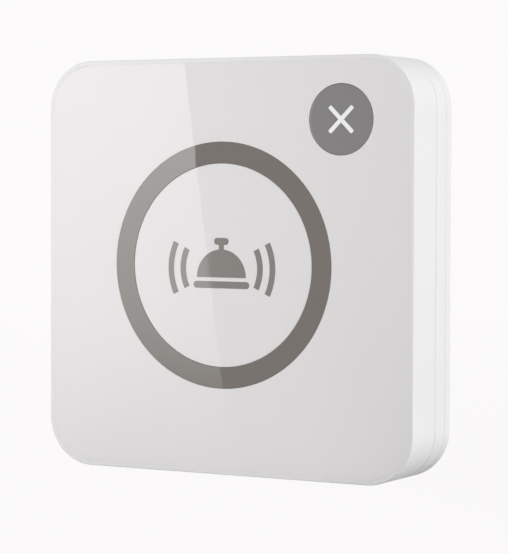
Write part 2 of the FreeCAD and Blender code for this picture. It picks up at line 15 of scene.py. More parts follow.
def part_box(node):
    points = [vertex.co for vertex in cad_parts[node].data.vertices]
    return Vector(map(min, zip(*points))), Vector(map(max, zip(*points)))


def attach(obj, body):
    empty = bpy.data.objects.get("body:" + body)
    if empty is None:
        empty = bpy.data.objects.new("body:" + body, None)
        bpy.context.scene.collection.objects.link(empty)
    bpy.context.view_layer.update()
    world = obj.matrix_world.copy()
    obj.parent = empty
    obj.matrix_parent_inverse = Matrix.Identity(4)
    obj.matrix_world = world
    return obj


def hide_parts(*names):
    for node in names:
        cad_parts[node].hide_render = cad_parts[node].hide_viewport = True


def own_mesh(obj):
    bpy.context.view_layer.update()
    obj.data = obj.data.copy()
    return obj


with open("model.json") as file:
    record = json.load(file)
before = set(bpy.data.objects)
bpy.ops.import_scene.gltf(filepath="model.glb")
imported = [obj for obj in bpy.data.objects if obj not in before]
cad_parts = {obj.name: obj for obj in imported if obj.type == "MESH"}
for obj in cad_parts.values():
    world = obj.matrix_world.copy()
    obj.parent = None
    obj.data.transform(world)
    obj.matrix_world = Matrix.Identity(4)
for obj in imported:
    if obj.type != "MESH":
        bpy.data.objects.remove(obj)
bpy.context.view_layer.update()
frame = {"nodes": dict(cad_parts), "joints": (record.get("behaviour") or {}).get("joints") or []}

bl_info = {
    "name": "Waiter Call Button",
    "version": (1, 0, 0),
    "blender": (4, 5, 0),
    "location": "View3D > Sidebar > Call Button",
    "description": "Builds the visible pieces, finishes and stage of a waiter call button",
    "category": "Object",
}

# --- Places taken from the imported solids
FRONT_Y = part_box("face_plate")[0].y


def front_of(node):
    """Depth of a node's front."""
    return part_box(node)[0].y - FRONT_Y


def back_of(node):
    """Depth of a node's back."""
    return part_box(node)[1].y - FRONT_Y


def middle_of(node):
    """Middle of a node, in the plane of the face."""
    low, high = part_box(node)
    return Vector(((low.x + high.x) / 2, 0, (low.z + high.z) / 2))


def half_width_of(node):
    low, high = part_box(node)
    return (high.x - low.x) / 2


CASE_BOTTOM, CASE_TOP = (corner.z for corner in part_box("front_shell"))
CASE_CENTRE, CASE_HALF = middle_of("front_shell"), half_width_of("front_shell")
RING_CENTRE = middle_of("call_switch_plunger")
CANCEL_CENTRE = middle_of("cancel_key")
COVER_CENTRE, COVER_RADIUS = middle_of("battery_cover"), half_width_of("battery_cover")
RING_FLOOR_BACK = back_of("light_ring")
KEY_END = back_of("call_key")
PLUNGER_FRONT = front_of("call_switch_plunger")
BOARD_FRONT, BOARD_BACK = front_of("main_board"), back_of("main_board")
HOUSING_BACK = back_of("rear_shell")
COVER_LEG_FRONT = front_of("battery_cover")
PLATE_HOOK_FRONT = front_of("wall_plate")
TOTAL_DEPTH = back_of("wall_plate")

# --- Places and sizes that several pieces share
SIDES = (-1, 1)
SCREW_INSET = 0.0068
HOOK_INSET, HOOK_ABOVE_BOTTOM, HOOK_BELOW_TOP = 0.019, 0.017, 0.019
RING_LUGS, RING_LUG_LENGTH = (4, 45), 0.00305
KEY_HOOK_SEAT, KEY_HOOK_START, HOOK_SLOPE = 0.00485, 90, 0.9
COVER_LEDGE, COVER_LEG_INSET = 0.001, 0.002


def screw_place(side):
    """Middle of the case screw on one side."""
    return Vector((side * (CASE_HALF - SCREW_INSET), 0, CASE_BOTTOM + SCREW_INSET))


def hook_places(side):
    """Middles of the wall plate's two hooks on one side."""
    x = side * (CASE_HALF - HOOK_INSET)
    return [Vector((x, 0, z)) for z in (CASE_BOTTOM + HOOK_ABOVE_BOTTOM, CASE_TOP - HOOK_BELOW_TOP)]


# --- How finely forms are divided, and what counts as the same place
CORNER_STEPS = 20
LARGE_STEPS = 128
SMALL_STEPS = 64
SCREW_STEPS = 40
SMALL_CORNER_STEPS = 8
TAPE_PAD_STEPS = 6
HOOK_SLOT_STEPS = 3
SOFT_STEPS = 3
SMOOTH_ANGLE = math.radians(32)
SHARP_ANGLE = math.radians(50)
NEAR = 1e-5  # a point this near to a depth is at it
SAME = 1e-7  # points this near to each other are merged
LAND = 0.0006  # flat strip beside an edge, which gives its rounding room
APART = 0.01  # from one outline to the next while they are bridged


# --- Sizes and colours that a user would change
def length(name, default, description):
    """A property in metres."""
    return FloatProperty(
        name=name, default=default, description=description, subtype="DISTANCE", unit="LENGTH", precision=5
    )


def angle(name, degrees, description):
    """A property in radians, from degrees."""
    return FloatProperty(name=name, default=math.radians(degrees), description=description, subtype="ANGLE")


def colour(name, default, description):
    """A linear colour."""
    return FloatVectorProperty(
        name=name, default=default, description=description, subtype="COLOR", size=3, min=0, max=1
    )


class CALLBUTTON_CaseSizes(bpy.types.PropertyGroup):
    corner_radius: length("Corner radius", 0.0102, "Radius of the case's corners, seen from the front")
    rim_width: length("Rim width", 0.0009, "Width of the shell's rim around the face plate")
    rim_round: length("Rim rounding", 0.0002, "Rounding of the rim's outer edge")
    edge_round: length("Edge rounding", 0.00012, "Rounding of the battery cover and of the back's openings")
    plate_round: length("Plate rounding", 0.00002, "Rounding of the face plate's edges")
    seam_round: length("Seam rounding", 0.00028, "Rounding of the edges along the case seams")
    back_round: length("Rear seam rounding", 0.0001, "Rounding of the edges along the wall plate's seam")
    plate_thickness: length("Plate thickness", 0.0016, "Thickness of the face plate")
    plate_gap: length("Plate gap", 0.000005, "Gap between the face plate and the rim")
    panel_front: length("Panel front", 0.0018, "Depth of the front panel behind the face")
    panel_back: length("Panel back", 0.0034, "Depth of the front panel's rear side")
    wall: length("Wall", 0.0018, "Wall of the case")
    back_wall: length("Back wall", 0.0016, "Thickness of the housing's back")
    tongue: length("Tongue", 0.001, "Height and inset of the tongue between the shells")
    seam_depth: length("Seam depth", 0.0105, "Depth of the seam between the shells")
    seam_gap: length("Seam gap", 0.0001, "Gap between the shells along their seam")
    plate_seam: length("Wall plate seam", 0.0001, "Gap between the housing and the wall plate")
    wall_plate_wall: length("Wall plate wall", 0.0016, "Wall and floor of the wall plate")
    wall_plate_round: length("Wall plate rounding", 0.0005, "Rounding of the wall plate's back edge")
    cover_gap: length("Cover gap", 0.00003, "Gap between the battery cover and its ledge")
    screw_spacing: length("Screw spacing", 0.06, "Distance between the wall screws")
    screw_radius: length("Screw hole radius", 0.0022, "Radius of the wall screw holes")
    pad_width: length("Tape pad width", 0.05, "Width of the wall plate's recesses for tape pads")
    pad_height: length("Tape pad height", 0.017, "Height of the wall plate's recesses for tape pads")
    pad_corner: length("Tape pad corner", 0.002, "Corner radius of the recesses for tape pads")
    pad_depth: length("Tape pad depth", 0.0004, "Depth of the recesses for tape pads")
    pad_spacing: length("Tape pad spacing", 0.048, "Distance between the two recesses for tape pads")


class CALLBUTTON_KeySizes(bpy.types.PropertyGroup):
    ring_outer: length("Ring outer radius", 0.0255, "Outer radius of the light ring")
    ring_inner: length("Ring inner radius", 0.02103, "Inner radius of the light ring")
    call_radius: length("Call key radius", 0.021, "Radius of the CALL key")
    cancel_radius: length("Cancel key radius", 0.00715, "Radius of the CANCEL key")
    running_gap: length("Running gap", 0.00008, "Gap around the CANCEL key")
    edge_round: length("Key edge rounding", 0.00006, "Rounding of the edges of keys and ring")
    cap_thickness: length("Cap thickness", 0.0014, "Thickness of a key's cap")
    floor_front: length("Floor front", 0.0038, "Depth of the floors that the keys slide in")
    skirt_end: length("Skirt end", 0.003, "Depth that a key's skirt reaches")
    pad_gap: length("Pad gap", 0.00002, "Gap at both ends of a return pad")
    pad_round: length("Pad rounding", 0.00015, "Rounding of the return pads' edges")
    print_depth: length("Print thickness", 0.00003, "Thickness of the printed signs")
    bell_width: length("Bell width", 0.0132, "Width of the bell sign on the CALL key")
    cross_width: length("Cross width", 0.0052, "Width of the cross sign on the CANCEL key")


class CALLBUTTON_ScrewSizes(bpy.types.PropertyGroup):
    crest: length("Thread crest", 0.0009, "Radius of the screw's thread")
    root: length("Thread root", 0.00068, "Radius between the turns of the thread")
    pitch: length("Thread pitch", 0.0007, "Distance between two turns of the thread")
    head_height: length("Head height", 0.0012, "Height of the screw's head")
    recess: length("Recess width", 0.0021, "Width of the cross recess in the head")
    recess_depth: length("Recess depth", 0.0007, "Depth of the cross recess in the head")


class CALLBUTTON_Finishes(bpy.types.PropertyGroup):
    face: colour("Face", (0.79, 0.775, 0.775), "Face plate and CALL key")
    case: colour("Case", (0.79, 0.782, 0.785), "Case and wall plate")
    ring: colour("Ring", (0.117, 0.098, 0.082), "Smoked light ring")
    cancel: colour("Cancel key", (0.225, 0.218, 0.222), "CANCEL key")
    sign: colour("Sign", (0.205, 0.195, 0.178), "Sign printed on the CALL key")
    cancel_sign: colour("Cancel sign", (0.93, 0.93, 0.93), "Sign printed on the CANCEL key")
    background: colour("Background", (0.972, 0.956, 0.956), "Backdrop as the camera sees it")


class CALLBUTTON_Studio(bpy.types.PropertyGroup):
    distance: length("Camera distance", 0.4854, "From the middle of the face to the camera")
    azimuth: angle("Azimuth", 29.747, "Camera's turn to the right")
    elevation: angle("Elevation", 2.198, "Camera's height angle")
    roll: angle("Roll", 0.151, "Camera's roll")
    lens: FloatProperty(name="Lens", default=153.4, description="Focal length in millimetres")
    shift_x: FloatProperty(name="Shift X", default=0.0539, description="Sideways lens shift")
    shift_y: FloatProperty(name="Shift Y", default=-0.0173, description="Upward lens shift")


def settings_of(context):
    """Sizes of the case and of the keys, and the finishes."""
    scene = context.scene
    return scene.callbutton_case, scene.callbutton_keys, scene.callbutton_finishes


# --- Mesh building
FACE_TURN = Matrix.Rotation(math.radians(90), 4, "X")


def place(centre, depth):
    """Stands a flat shape up, facing the front, at a depth behind the face."""
    return Matrix.Translation((centre.x, FRONT_Y + depth, centre.z)) @ FACE_TURN


def turns(count, start):
    """Even turns of a circle, from a first one in degrees."""
    return [math.radians(start) + step * math.tau / count for step in range(count)]


def around(centre, radius, turn):
    """Point at a distance from a centre, turned about the press direction."""
    return centre + Matrix.Rotation(turn, 3, "Y") @ Vector((radius, 0, 0))


def edges_of(verts):
    """Edges whose two ends are both among some vertices."""
    chosen = set(verts)
    return [e for e in {e for v in chosen for e in v.link_edges} if set(e.verts) <= chosen]


def verts_in(geom):
    """Vertices among the geometry that an operator made."""
    return [g for g in geom if isinstance(g, bmesh.types.BMVert)]


def square(bm, half=0.5):
    """Flat square with one face; returns its vertices."""
    return bmesh.ops.create_grid(bm, x_segments=1, y_segments=1, size=half)["verts"]


def round_corners(bm, verts, radius, steps):
    """Rounds the corners of a flat shape; returns the vertices of the arcs."""
    made = bmesh.ops.bevel(
        bm, geom=verts, offset=radius, affect="VERTICES", segments=steps, profile=0.5, material=-1
    )
    return made["verts"]


def circle(bm, centre, radius, depth, steps=LARGE_STEPS):
    made = bmesh.ops.create_circle(bm, segments=steps, radius=radius, matrix=place(centre, depth))
    return edges_of(made["verts"])


def rounded_rectangle(bm, centre, width, height, radius, depth, steps, turn=0.0):
    """Outline of a rectangle whose corners are arcs."""
    verts = square(bm)
    spread = Matrix.Rotation(turn, 4, "Z") @ Matrix.Diagonal((width, height, 1, 1))
    bmesh.ops.transform(bm, matrix=spread, verts=verts)
    if radius > 0:
        verts = round_corners(bm, verts, radius, steps)
    bmesh.ops.transform(bm, matrix=place(centre, depth), verts=verts)
    bmesh.ops.delete(bm, geom=list({f for v in verts for f in v.link_faces}), context="FACES_ONLY")
    return edges_of(verts)


def cross_outline(bm, centre, width, depth):
    """Outline of an upright cross whose arms are a third as wide as the whole."""
    made = bmesh.ops.create_grid(bm, x_segments=3, y_segments=3, size=width / 2, matrix=place(centre, depth))
    corners = [v for v in made["verts"] if len(v.link_faces) == 1]
    verts = [v for v in made["verts"] if v not in corners]
    bmesh.ops.delete(bm, geom=corners, context="VERTS")
    inner = [e for e in edges_of(verts) if len(e.link_faces) == 2]
    bmesh.ops.delete(bm, geom=inner, context="EDGES")
    return edges_of(verts)


def fill(bm, *loops):
    """Flat face inside the first outline, with the other outlines as holes."""
    edges = [e for loop in loops for e in loop]
    bmesh.ops.triangle_fill(bm, use_beauty=True, use_dissolve=False, edges=edges, normal=(0, -1, 0))


def walls(bm, outline, *sections, closed=False):
    """Walls through the outlines of some (size, depth) sections; returns the first and last outline.

    The outlines are bridged well apart, so that two at the same depth pair up, and then moved in.
    """
    loops = [outline(size, step * APART) for step, (size, _) in enumerate(sections)]
    pairs = list(zip(loops, loops[1:])) + ([(loops[-1], loops[0])] if closed else [])
    for near, far in pairs:
        bmesh.ops.bridge_loops(bm, edges=near + far)
    for step, (loop, (_, depth)) in enumerate(zip(loops, sections)):
        verts = list({v for e in loop for v in e.verts})
        bmesh.ops.translate(bm, vec=(0, depth - step * APART, 0), verts=verts)
    return loops[0], loops[-1]


def case_walls(bm, case, *sections):
    """Walls along the case's rounded-square outline, through (inset, depth) sections."""

    def outline(inset, depth):
        size = 2 * (CASE_HALF - inset)
        corner = case.corner_radius - inset
        return rounded_rectangle(bm, CASE_CENTRE, size, size, corner, depth, CORNER_STEPS)

    return walls(bm, outline, *sections)


def round_walls(bm, centre, *sections, steps=LARGE_STEPS, closed=False):
    """Round walls through (radius, depth) sections."""

    def outline(radius, depth):
        return circle(bm, centre, radius, depth, steps)

    return walls(bm, outline, *sections, closed=closed)


def oblong_walls(bm, centre, width, height, corner, steps, *sections, turn=0.0):
    """Walls along a rounded rectangle, through (growth, depth) sections."""

    def outline(grow, depth):
        wide, high = width + 2 * grow, height + 2 * grow
        radius = corner + grow if corner else 0
        return rounded_rectangle(bm, centre, wide, high, radius, depth, steps, turn)

    return walls(bm, outline, *sections)


def add_box(bm, one_end, other_end, turn=0.0, about=None):
    """Box between two (x, depth, z) corners, turned about the press direction."""
    ends = [sorted(pair) for pair in zip(one_end, other_end)]
    x, depth, z = ((low + high) / 2 for low, high in ends)
    matrix = Matrix.Translation((x, FRONT_Y + depth, z)) @ Matrix.Diagonal((*(b - a for a, b in ends), 1))
    if turn:
        pivot = Matrix.Translation(about)
        matrix = pivot @ Matrix.Rotation(turn, 4, "Y") @ pivot.inverted() @ matrix
    return bmesh.ops.create_cube(bm, size=1.0, matrix=matrix)["verts"]


def add_block(bm, x, z, wide, high, front, back):
    """Box about a point in the plane of the face."""
    add_box(bm, (x - wide / 2, front, z - high / 2), (x + wide / 2, back, z + high / 2))


def add_spokes(bm, centre, inner, outer, width, front, back, count, start):
    """Boxes that reach outwards from a centre, evenly turned; returns the corners of each."""
    near = (centre.x + inner, front, centre.z - width / 2)
    far = (centre.x + outer, back, centre.z + width / 2)
    return [add_box(bm, near, far, turn, centre) for turn in turns(count, start)]


def add_tube(bm, centre, outer, inner, front, back, steps=SMALL_STEPS):
    """Closed tube along the press direction."""
    sections = (outer, front), (outer, back), (inner, back), (inner, front)
    round_walls(bm, centre, *sections, steps=steps, closed=True)


def add_turned(bm, centre, profile):
    """Solid of revolution about the press direction, from (radius, depth) corners."""
    verts = [bm.verts.new((centre.x + radius, FRONT_Y + depth, centre.z)) for radius, depth in profile]
    geom = verts + [bm.edges.new(pair) for pair in zip(verts, verts[1:])]
    bmesh.ops.spin(
        bm, geom=geom, cent=centre, axis=(0, 1, 0), angle=math.tau, steps=LARGE_STEPS, use_merge=True
    )


def at_depth(depth):
    """Tells whether a point is at a depth."""
    return lambda co: abs(co.y - FRONT_Y - depth) < NEAR


def on_case_edge(case, depth):
    """Tells whether a point is on the case's outer outline at a depth."""
    arc = CASE_HALF - case.corner_radius

    def wanted(co):
        out = [max(abs(a - b) - arc, 0) for a, b in ((co.x, CASE_CENTRE.x), (co.z, CASE_CENTRE.z))]
        return at_depth(depth)(co) and math.hypot(*out) > case.corner_radius - 10 * NEAR

    return wanted


def soften(bm, width, wanted, steps=SOFT_STEPS):
    """Rounds the sharp edges that lie wholly where wanted says."""
    bm.normal_update()
    sharp = [e for e in bm.edges if e.is_manifold and e.calc_face_angle(0) > SHARP_ANGLE]
    edges = [e for e in sharp if all(wanted(v.co) for v in e.verts)]
    bmesh.ops.bevel(
        bm,
        geom=edges,
        offset=width,
        affect="EDGES",
        segments=steps,
        profile=0.5,
        material=-1,
        clamp_overlap=True,
    )


def close_up(bm):
    """Merges doubles and points every face outwards."""
    bmesh.ops.remove_doubles(bm, verts=bm.verts, dist=SAME)
    bmesh.ops.recalc_face_normals(bm, faces=bm.faces)


def add_object(bm, name, material):
    """Turns a mesh into an object of the scene."""
    mesh = bpy.data.meshes.new(name)
    bm.to_mesh(mesh)
    bm.free()
    mesh.materials.append(material)
    made = bpy.data.objects.new(name, mesh)
    bpy.context.scene.collection.objects.link(made)
    return made


def finish_piece(bm, name, body, material, node=None):
    """Turns a mesh into a finished piece that rides on a body and may stand for a node."""
    bmesh.ops.recalc_face_normals(bm, faces=bm.faces)
    piece = add_object(bm, name, material)
    piece.data.shade_smooth()
    piece.data.set_sharp_from_angle(angle=SMOOTH_ANGLE)
    piece.modifiers.new("Even shading", "WEIGHTED_NORMAL").keep_sharp = True
    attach(piece, body)
    if node:
        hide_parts(node)
    return piece


# --- Shader building
class Value:
    """A number that comes out of a shader node; arithmetic on it adds Math nodes."""

    def __init__(self, shader, socket):
        self.shader = shader
        self.socket = socket

    def _math(self, operation, first, second):
        return self.shader.node("ShaderNodeMath", {"operation": operation}, {0: first, 1: second})

    def __add__(self, other):
        return self._math("ADD", self, other)

    __radd__ = __add__

    def __sub__(self, other):
        return self._math("SUBTRACT", self, other)

    def __rsub__(self, other):
        return self._math("SUBTRACT", other, self)

    def __mul__(self, other):
        return self._math("MULTIPLY", self, other)

    __rmul__ = __mul__


class Nodes:
    """A node tree that pieces of shading are added to."""

    def __init__(self, tree):
        self.tree = tree

    def node(self, kind, settings=None, inputs=None, output=0):
        """Adds a node: its settings first, then the values or links of its sockets."""
        made = self.tree.nodes.new(kind)
        for name, setting in (settings or {}).items():
            if name == "stops":
                ramp = made.color_ramp
                while len(ramp.elements) < len(setting):
                    ramp.elements.new(0.5)
                for element, (position, level) in zip(ramp.elements, setting):
                    element.position = position
                    element.color = (level, level, level, 1)
            else:
                setattr(made, name, setting)
        for name, value in (inputs or {}).items():
            self.feed(made.inputs[name], value)
        return Value(self, made.outputs[output])

    def feed(self, socket, value):
        if isinstance(value, Value):
            self.tree.links.new(value.socket, socket)
        else:
            socket.default_value = value

    def axis(self, vector, name):
        return self.node("ShaderNodeSeparateXYZ", None, {0: vector}, output=name)

    def ramp(self, value, *stops):
        return self.node("ShaderNodeValToRGB", {"stops": stops}, {"Fac": value})

    def glow(self, tone, strength, kind="ShaderNodeEmission"):
        """Light of a colour and a strength, each given as numbers or as a link."""
        return self.node(kind, None, {"Color": opaque(tone), "Strength": strength})

    def mix(self, amount, first, second):
        """The first shader where the amount is 0, and the second where it is 1."""
        return self.node("ShaderNodeMixShader", None, {0: amount, 1: first, 2: second})

    def show(self, output, surface):
        self.feed(output.inputs["Surface"], surface)

    def background_rays(self):
        """1 where the backdrop is looked at, straight or in a reflection, and 0 where it only lights."""
        seen = self.node("ShaderNodeLightPath", output="Is Camera Ray")
        for ray in ("Is Glossy Ray", "Is Transmission Ray"):
            other = self.node("ShaderNodeLightPath", output=ray)
            seen = self.node("ShaderNodeMath", {"operation": "MAXIMUM"}, {0: seen, 1: other})
        return seen


class Shader(Nodes):
    """A material's node tree, built from the Principled shader backwards."""

    def __init__(self, name):
        self.material = bpy.data.materials.new(name)
        self.material.use_nodes = True
        super().__init__(self.material.node_tree)
        self.principled = self.tree.nodes["Principled BSDF"]
        self.output = self.tree.nodes["Material Output"]

    def set(self, **inputs):
        """Sets or links sockets of the Principled shader, and returns the material; _ stands for a space."""
        for name, value in inputs.items():
            self.feed(self.principled.inputs[name.replace("_", " ")], value)
        return self.material

    def place(self, scale=(1, 1, 1), turn=(0, 0, 0)):
        """Object coordinates, stretched and turned."""
        here = self.node("ShaderNodeTexCoord", output="Object")
        return self.node("ShaderNodeMapping", None, {"Vector": here, "Scale": scale, "Rotation": turn})

    def noise(self, scale, detail=3.0, roughness=0.55, where=None):
        """Soft noise from 0 to 1; the scale is in cells per metre."""
        inputs = {"Scale": scale, "Detail": detail, "Roughness": roughness, "Vector": where or self.place()}
        return self.node("ShaderNodeTexNoise", None, inputs)

    def blend(self, amount, first, second):
        """Colour between two colours, each given as numbers or as a link."""
        ends = {0: amount, 6: opaque(first), 7: opaque(second)}
        return self.node("ShaderNodeMix", {"data_type": "RGBA"}, ends, output=2)

    def mottle(self, amount, tone, darkest, lightest):
        """A tone made darker and lighter over the surface."""
        return self.blend(amount, shade(tone, darkest), shade(tone, lightest))

    def stripes(self, along, pitch, share):
        """1 on stripes that fill a share of every pitch, and 0 between them."""
        step = self.node("ShaderNodeMath", {"operation": "FRACT"}, {0: along * (1 / pitch)})
        return self.ramp(step, (share, 1.0), (share + 0.03, 0.0))

    def bump(self, height, strength, distance):
        inputs = {"Height": height, "Strength": strength, "Distance": distance}
        return self.node("ShaderNodeBump", None, inputs)


def opaque(tone):
    """A colour as a socket takes it; a link stays a link."""
    return tone if isinstance(tone, Value) else (*tone, 1)


def shade(tone, factor):
    """A colour made lighter or darker."""
    return tuple(min(1.0, channel * factor) for channel in tone)


# --- Finishes
def polished_plastic(name, tone):
    """Clear-lacquered moulding: faint clouding, a slow ripple and fine handling marks."""
    s = Shader(name)
    marks = s.noise(900, 5, 0.7, s.place((1, 1, 0.18), (0, 0.5, 0)))
    return s.set(
        Base_Color=s.mottle(s.noise(45, 2), tone, 0.985, 1.012),
        Roughness=0.008 + s.ramp(marks, (0.56, 0.0), (0.78, 1.0)) * 0.012,
        Normal=s.bump(s.noise(120, 1), 0.03, 0.00002),
        IOR=1.49,
    )


def moulded_plastic(name, tone):
    """Case plastic as it comes from a fine-spark mould."""
    s = Shader(name)
    return s.set(
        Base_Color=s.mottle(s.noise(60, 3), tone, 0.975, 1.01),
        Roughness=0.34 + (s.noise(380, 3) - 0.5) * 0.12,
        Normal=s.bump(s.noise(6500, 2, 0.6), 0.12, 0.00002),
        IOR=1.5,
    )


def smoked_plastic(name, tone):
    """Smoked light guide: dark, a little cloudy inside, with a polished skin."""
    s = Shader(name)
    return s.set(
        Base_Color=s.mottle(s.noise(170, 4, 0.6), tone, 0.94, 1.07),
        Roughness=0.008 + s.noise(600, 3) * 0.01,
        Normal=s.bump(s.noise(4200, 2), 0.005, 0.00001),
        IOR=1.9,
    )


def screen_print(name, tone):
    """Glossy ink with the slight unevenness of a printing screen."""
    s = Shader(name)
    mesh_marks = s.noise(5200, 2, 0.7)
    return s.set(
        Base_Color=s.mottle(s.noise(700, 4), tone, 0.95, 1.04),
        Roughness=0.03 + mesh_marks * 0.03,
        Normal=s.bump(mesh_marks, 0.02, 0.00001),
        IOR=1.7,
    )


def soft_rubber(name, tone):
    """Silicone or foam, with a dusty skin."""
    s = Shader(name)
    pores = s.noise(3600, 4, 0.7)
    return s.set(
        Base_Color=s.mottle(s.noise(420, 3), tone, 0.9, 1.06),
        Roughness=0.62 + pores * 0.15,
        Normal=s.bump(pores, 0.35, 0.00004),
    )


def circuit_board(name, mask, copper, tin):
    """Solder mask over runs of parallel tracks, with tinned through-holes between them."""
    s = Shader(name)
    flat = s.place((1, 0, 1))
    across, up = s.axis(flat, "X"), s.axis(flat, "Z")
    zone = s.noise(48, 0, where=flat)
    upright = s.ramp(zone, (0.45, 1.0), (0.455, 0.0))
    level = s.ramp(zone, (0.55, 0.0), (0.555, 1.0))
    pitch, share = 0.0008, 0.3
    runs = (
        s.stripes(across, pitch, share) * upright
        + s.stripes(up, pitch, share) * level
        + s.stripes((across + up) * math.sqrt(0.5), pitch, share) * (1 - upright - level)
    )
    routed = s.ramp(s.noise(130, 0, where=s.place((1, 0, 1), (0, 0.6, 0))), (0.47, 0.0), (0.475, 1.0))
    tracks = runs * routed
    cells = {"Vector": flat, "Scale": 240.0, "Randomness": 0.9}
    hole = s.node("ShaderNodeTexVoronoi", {"feature": "F1"}, cells)
    pads = s.ramp(hole, (0.05, 0.0), (0.055, 1.0), (0.12, 1.0), (0.125, 0.0))
    return s.set(
        Base_Color=s.blend(pads, s.blend(tracks, mask, copper), tin),
        Roughness=0.28 + s.noise(700, 2) * 0.12,
        Metallic=pads * 0.8,
        Normal=s.bump(tracks * 0.6 + pads * 0.4 + s.noise(5200, 2) * 0.25, 0.3, 0.00003),
    )


def brushed_metal(name, tone, roughness=0.24, scale=2600):
    """Plated or drawn metal, with fine marks along one way."""
    s = Shader(name)
    lay = s.noise(scale, 4, 0.65, s.place((0.06, 1, 1)))
    return s.set(
        Base_Color=s.mottle(s.noise(240, 3), tone, 0.88, 1.05),
        Metallic=1.0,
        Roughness=roughness + lay * 0.14,
        Normal=s.bump(lay, 0.12, 0.00001),
    )


def dull_moulding(name, tone):
    """Black or brown component moulding with a chalky, spark-eroded skin."""
    s = Shader(name)
    skin = s.noise(5600, 4, 0.7)
    return s.set(
        Base_Color=s.mottle(s.noise(800, 3), tone, 0.8, 1.35),
        Roughness=0.5 + skin * 0.16,
        Normal=s.bump(skin, 0.3, 0.00002),
    )


def lamp_lens(name, tone, phosphor):
    """White lamp body with a yellow phosphor heart."""
    s = Shader(name)
    return s.set(
        Base_Color=s.blend(s.ramp(s.noise(900, 2), (0.42, 0.0), (0.6, 1.0)), tone, phosphor),
        Roughness=0.2 + s.noise(2200, 2) * 0.1,
        Normal=s.bump(s.noise(2600, 2), 0.08, 0.00001),
    )


INNER_FINISHES = {
    "face_tape": (soft_rubber, "foam_tape_white", (0.78, 0.78, 0.75)),
    "main_board": (
        circuit_board, "board_mask", (0.015, 0.12, 0.045), (0.03, 0.24, 0.09), (0.62, 0.61, 0.57)
    ),
    "ring_leds": (lamp_lens, "lamp_lens", (0.84, 0.84, 0.82), (0.82, 0.7, 0.2)),
    "controller_chip": (dull_moulding, "chip_epoxy", (0.018, 0.018, 0.02)),
    "radio_chip": (dull_moulding, "radio_chip_epoxy", (0.018, 0.018, 0.02)),
    "crystal": (brushed_metal, "crystal_can", (0.66, 0.66, 0.65), 0.2),
    "supply_capacitor": (brushed_metal, "capacitor_can", (0.7, 0.71, 0.73), 0.3),
    "chip_capacitors": (dull_moulding, "ceramic_body", (0.34, 0.22, 0.12)),
    "antenna": (brushed_metal, "antenna_strip", (0.7, 0.68, 0.6), 0.26),
    "battery_holder": (dull_moulding, "holder_black", (0.02, 0.02, 0.02)),
    "negative_contact": (brushed_metal, "leaf_contact", (0.76, 0.72, 0.62), 0.22),
    "positive_contact": (brushed_metal, "clip_contact", (0.76, 0.72, 0.62), 0.22),
}
for key, suffix in (("call", ""), ("cancel", "_small")):
    INNER_FINISHES |= {
        key + "_switch_base": (dull_moulding, "switch_black" + suffix, (0.014, 0.014, 0.015)),
        key + "_switch_cover": (brushed_metal, "switch_plate" + suffix, (0.62, 0.61, 0.58)),
        key + "_switch_plunger": (dull_moulding, "plunger_black" + suffix, (0.02, 0.02, 0.021)),
    }


# --- Pieces
def add_floor_holes(bm, centre, front, stem, reach, thick, wide, count):
    """Stem hole and hook slots through a key's floor; returns their front and their back outlines."""
    holes = [(centre, stem, stem, 0.0)]
    holes += [(around(centre, reach, turn), thick, wide, -turn) for turn in turns(count, KEY_HOOK_START)]
    return zip(*(
        oblong_walls(bm, middle, width, height, 0, 0, (0, front), (0, RING_FLOOR_BACK), turn=turn)
        for middle, width, height, turn in holes
    ))


def add_hooks(bm, centre, root, reach, thick, wide, catch, count):
    """Snap legs with wedge heads, evenly turned about a key's middle."""
    add_spokes(bm, centre, reach - thick, reach, wide, root, KEY_END, count, KEY_HOOK_START)
    heads = add_spokes(bm, centre, reach, reach + catch, wide, KEY_HOOK_SEAT, KEY_END, count, KEY_HOOK_START)
    for head, turn in zip(heads, turns(count, KEY_HOOK_START)):
        outwards = around(Vector(), 1, turn)
        back_half = [v for v in head if v.co.y > FRONT_Y + (KEY_HOOK_SEAT + KEY_END) / 2]
        tips = [v for v in back_half if (v.co - centre).dot(outwards) > reach + catch / 2]
        bmesh.ops.translate(bm, vec=-HOOK_SLOPE * catch * outwards, verts=tips)


def key_cap(bm, keys, centre, radius, skirt_wall):
    """Cap and skirt of a key, with a rounded front edge."""
    inside, top, cap, end = radius - skirt_wall, keys.print_depth, keys.cap_thickness, keys.skirt_end
    face = (0, top), (radius - LAND, top), (radius, top)
    add_turned(bm, centre, [*face, (radius, end), (inside, end), (inside, cap), (0, cap)])
    close_up(bm)
    soften(bm, keys.edge_round, at_depth(top))


def add_stem(bm, keys, centre, width):
    """Cross-shaped stem that reaches the switch plunger."""
    rib = 0.0012
    for wide, high in ((width, rib), (rib, width)):
        add_block(bm, centre.x, centre.z, wide, high, keys.cap_thickness / 2, PLUNGER_FRONT)


def thicken_print(bm, thickness):
    """Gives flat ink its thickness, up to the front face."""
    close_up(bm)
    made = bmesh.ops.extrude_face_region(bm, geom=list(bm.faces), use_keep_orig=True)
    bmesh.ops.translate(bm, vec=(0, -thickness, 0), verts=verts_in(made["geom"]))


def finish_case_part(bm, node, body, material_name, finishes):
    """Finishes a piece that is moulded from the case plastic."""
    satin = moulded_plastic(material_name, finishes.case)
    finish_piece(bm, node + "_moulded", body, satin, node)


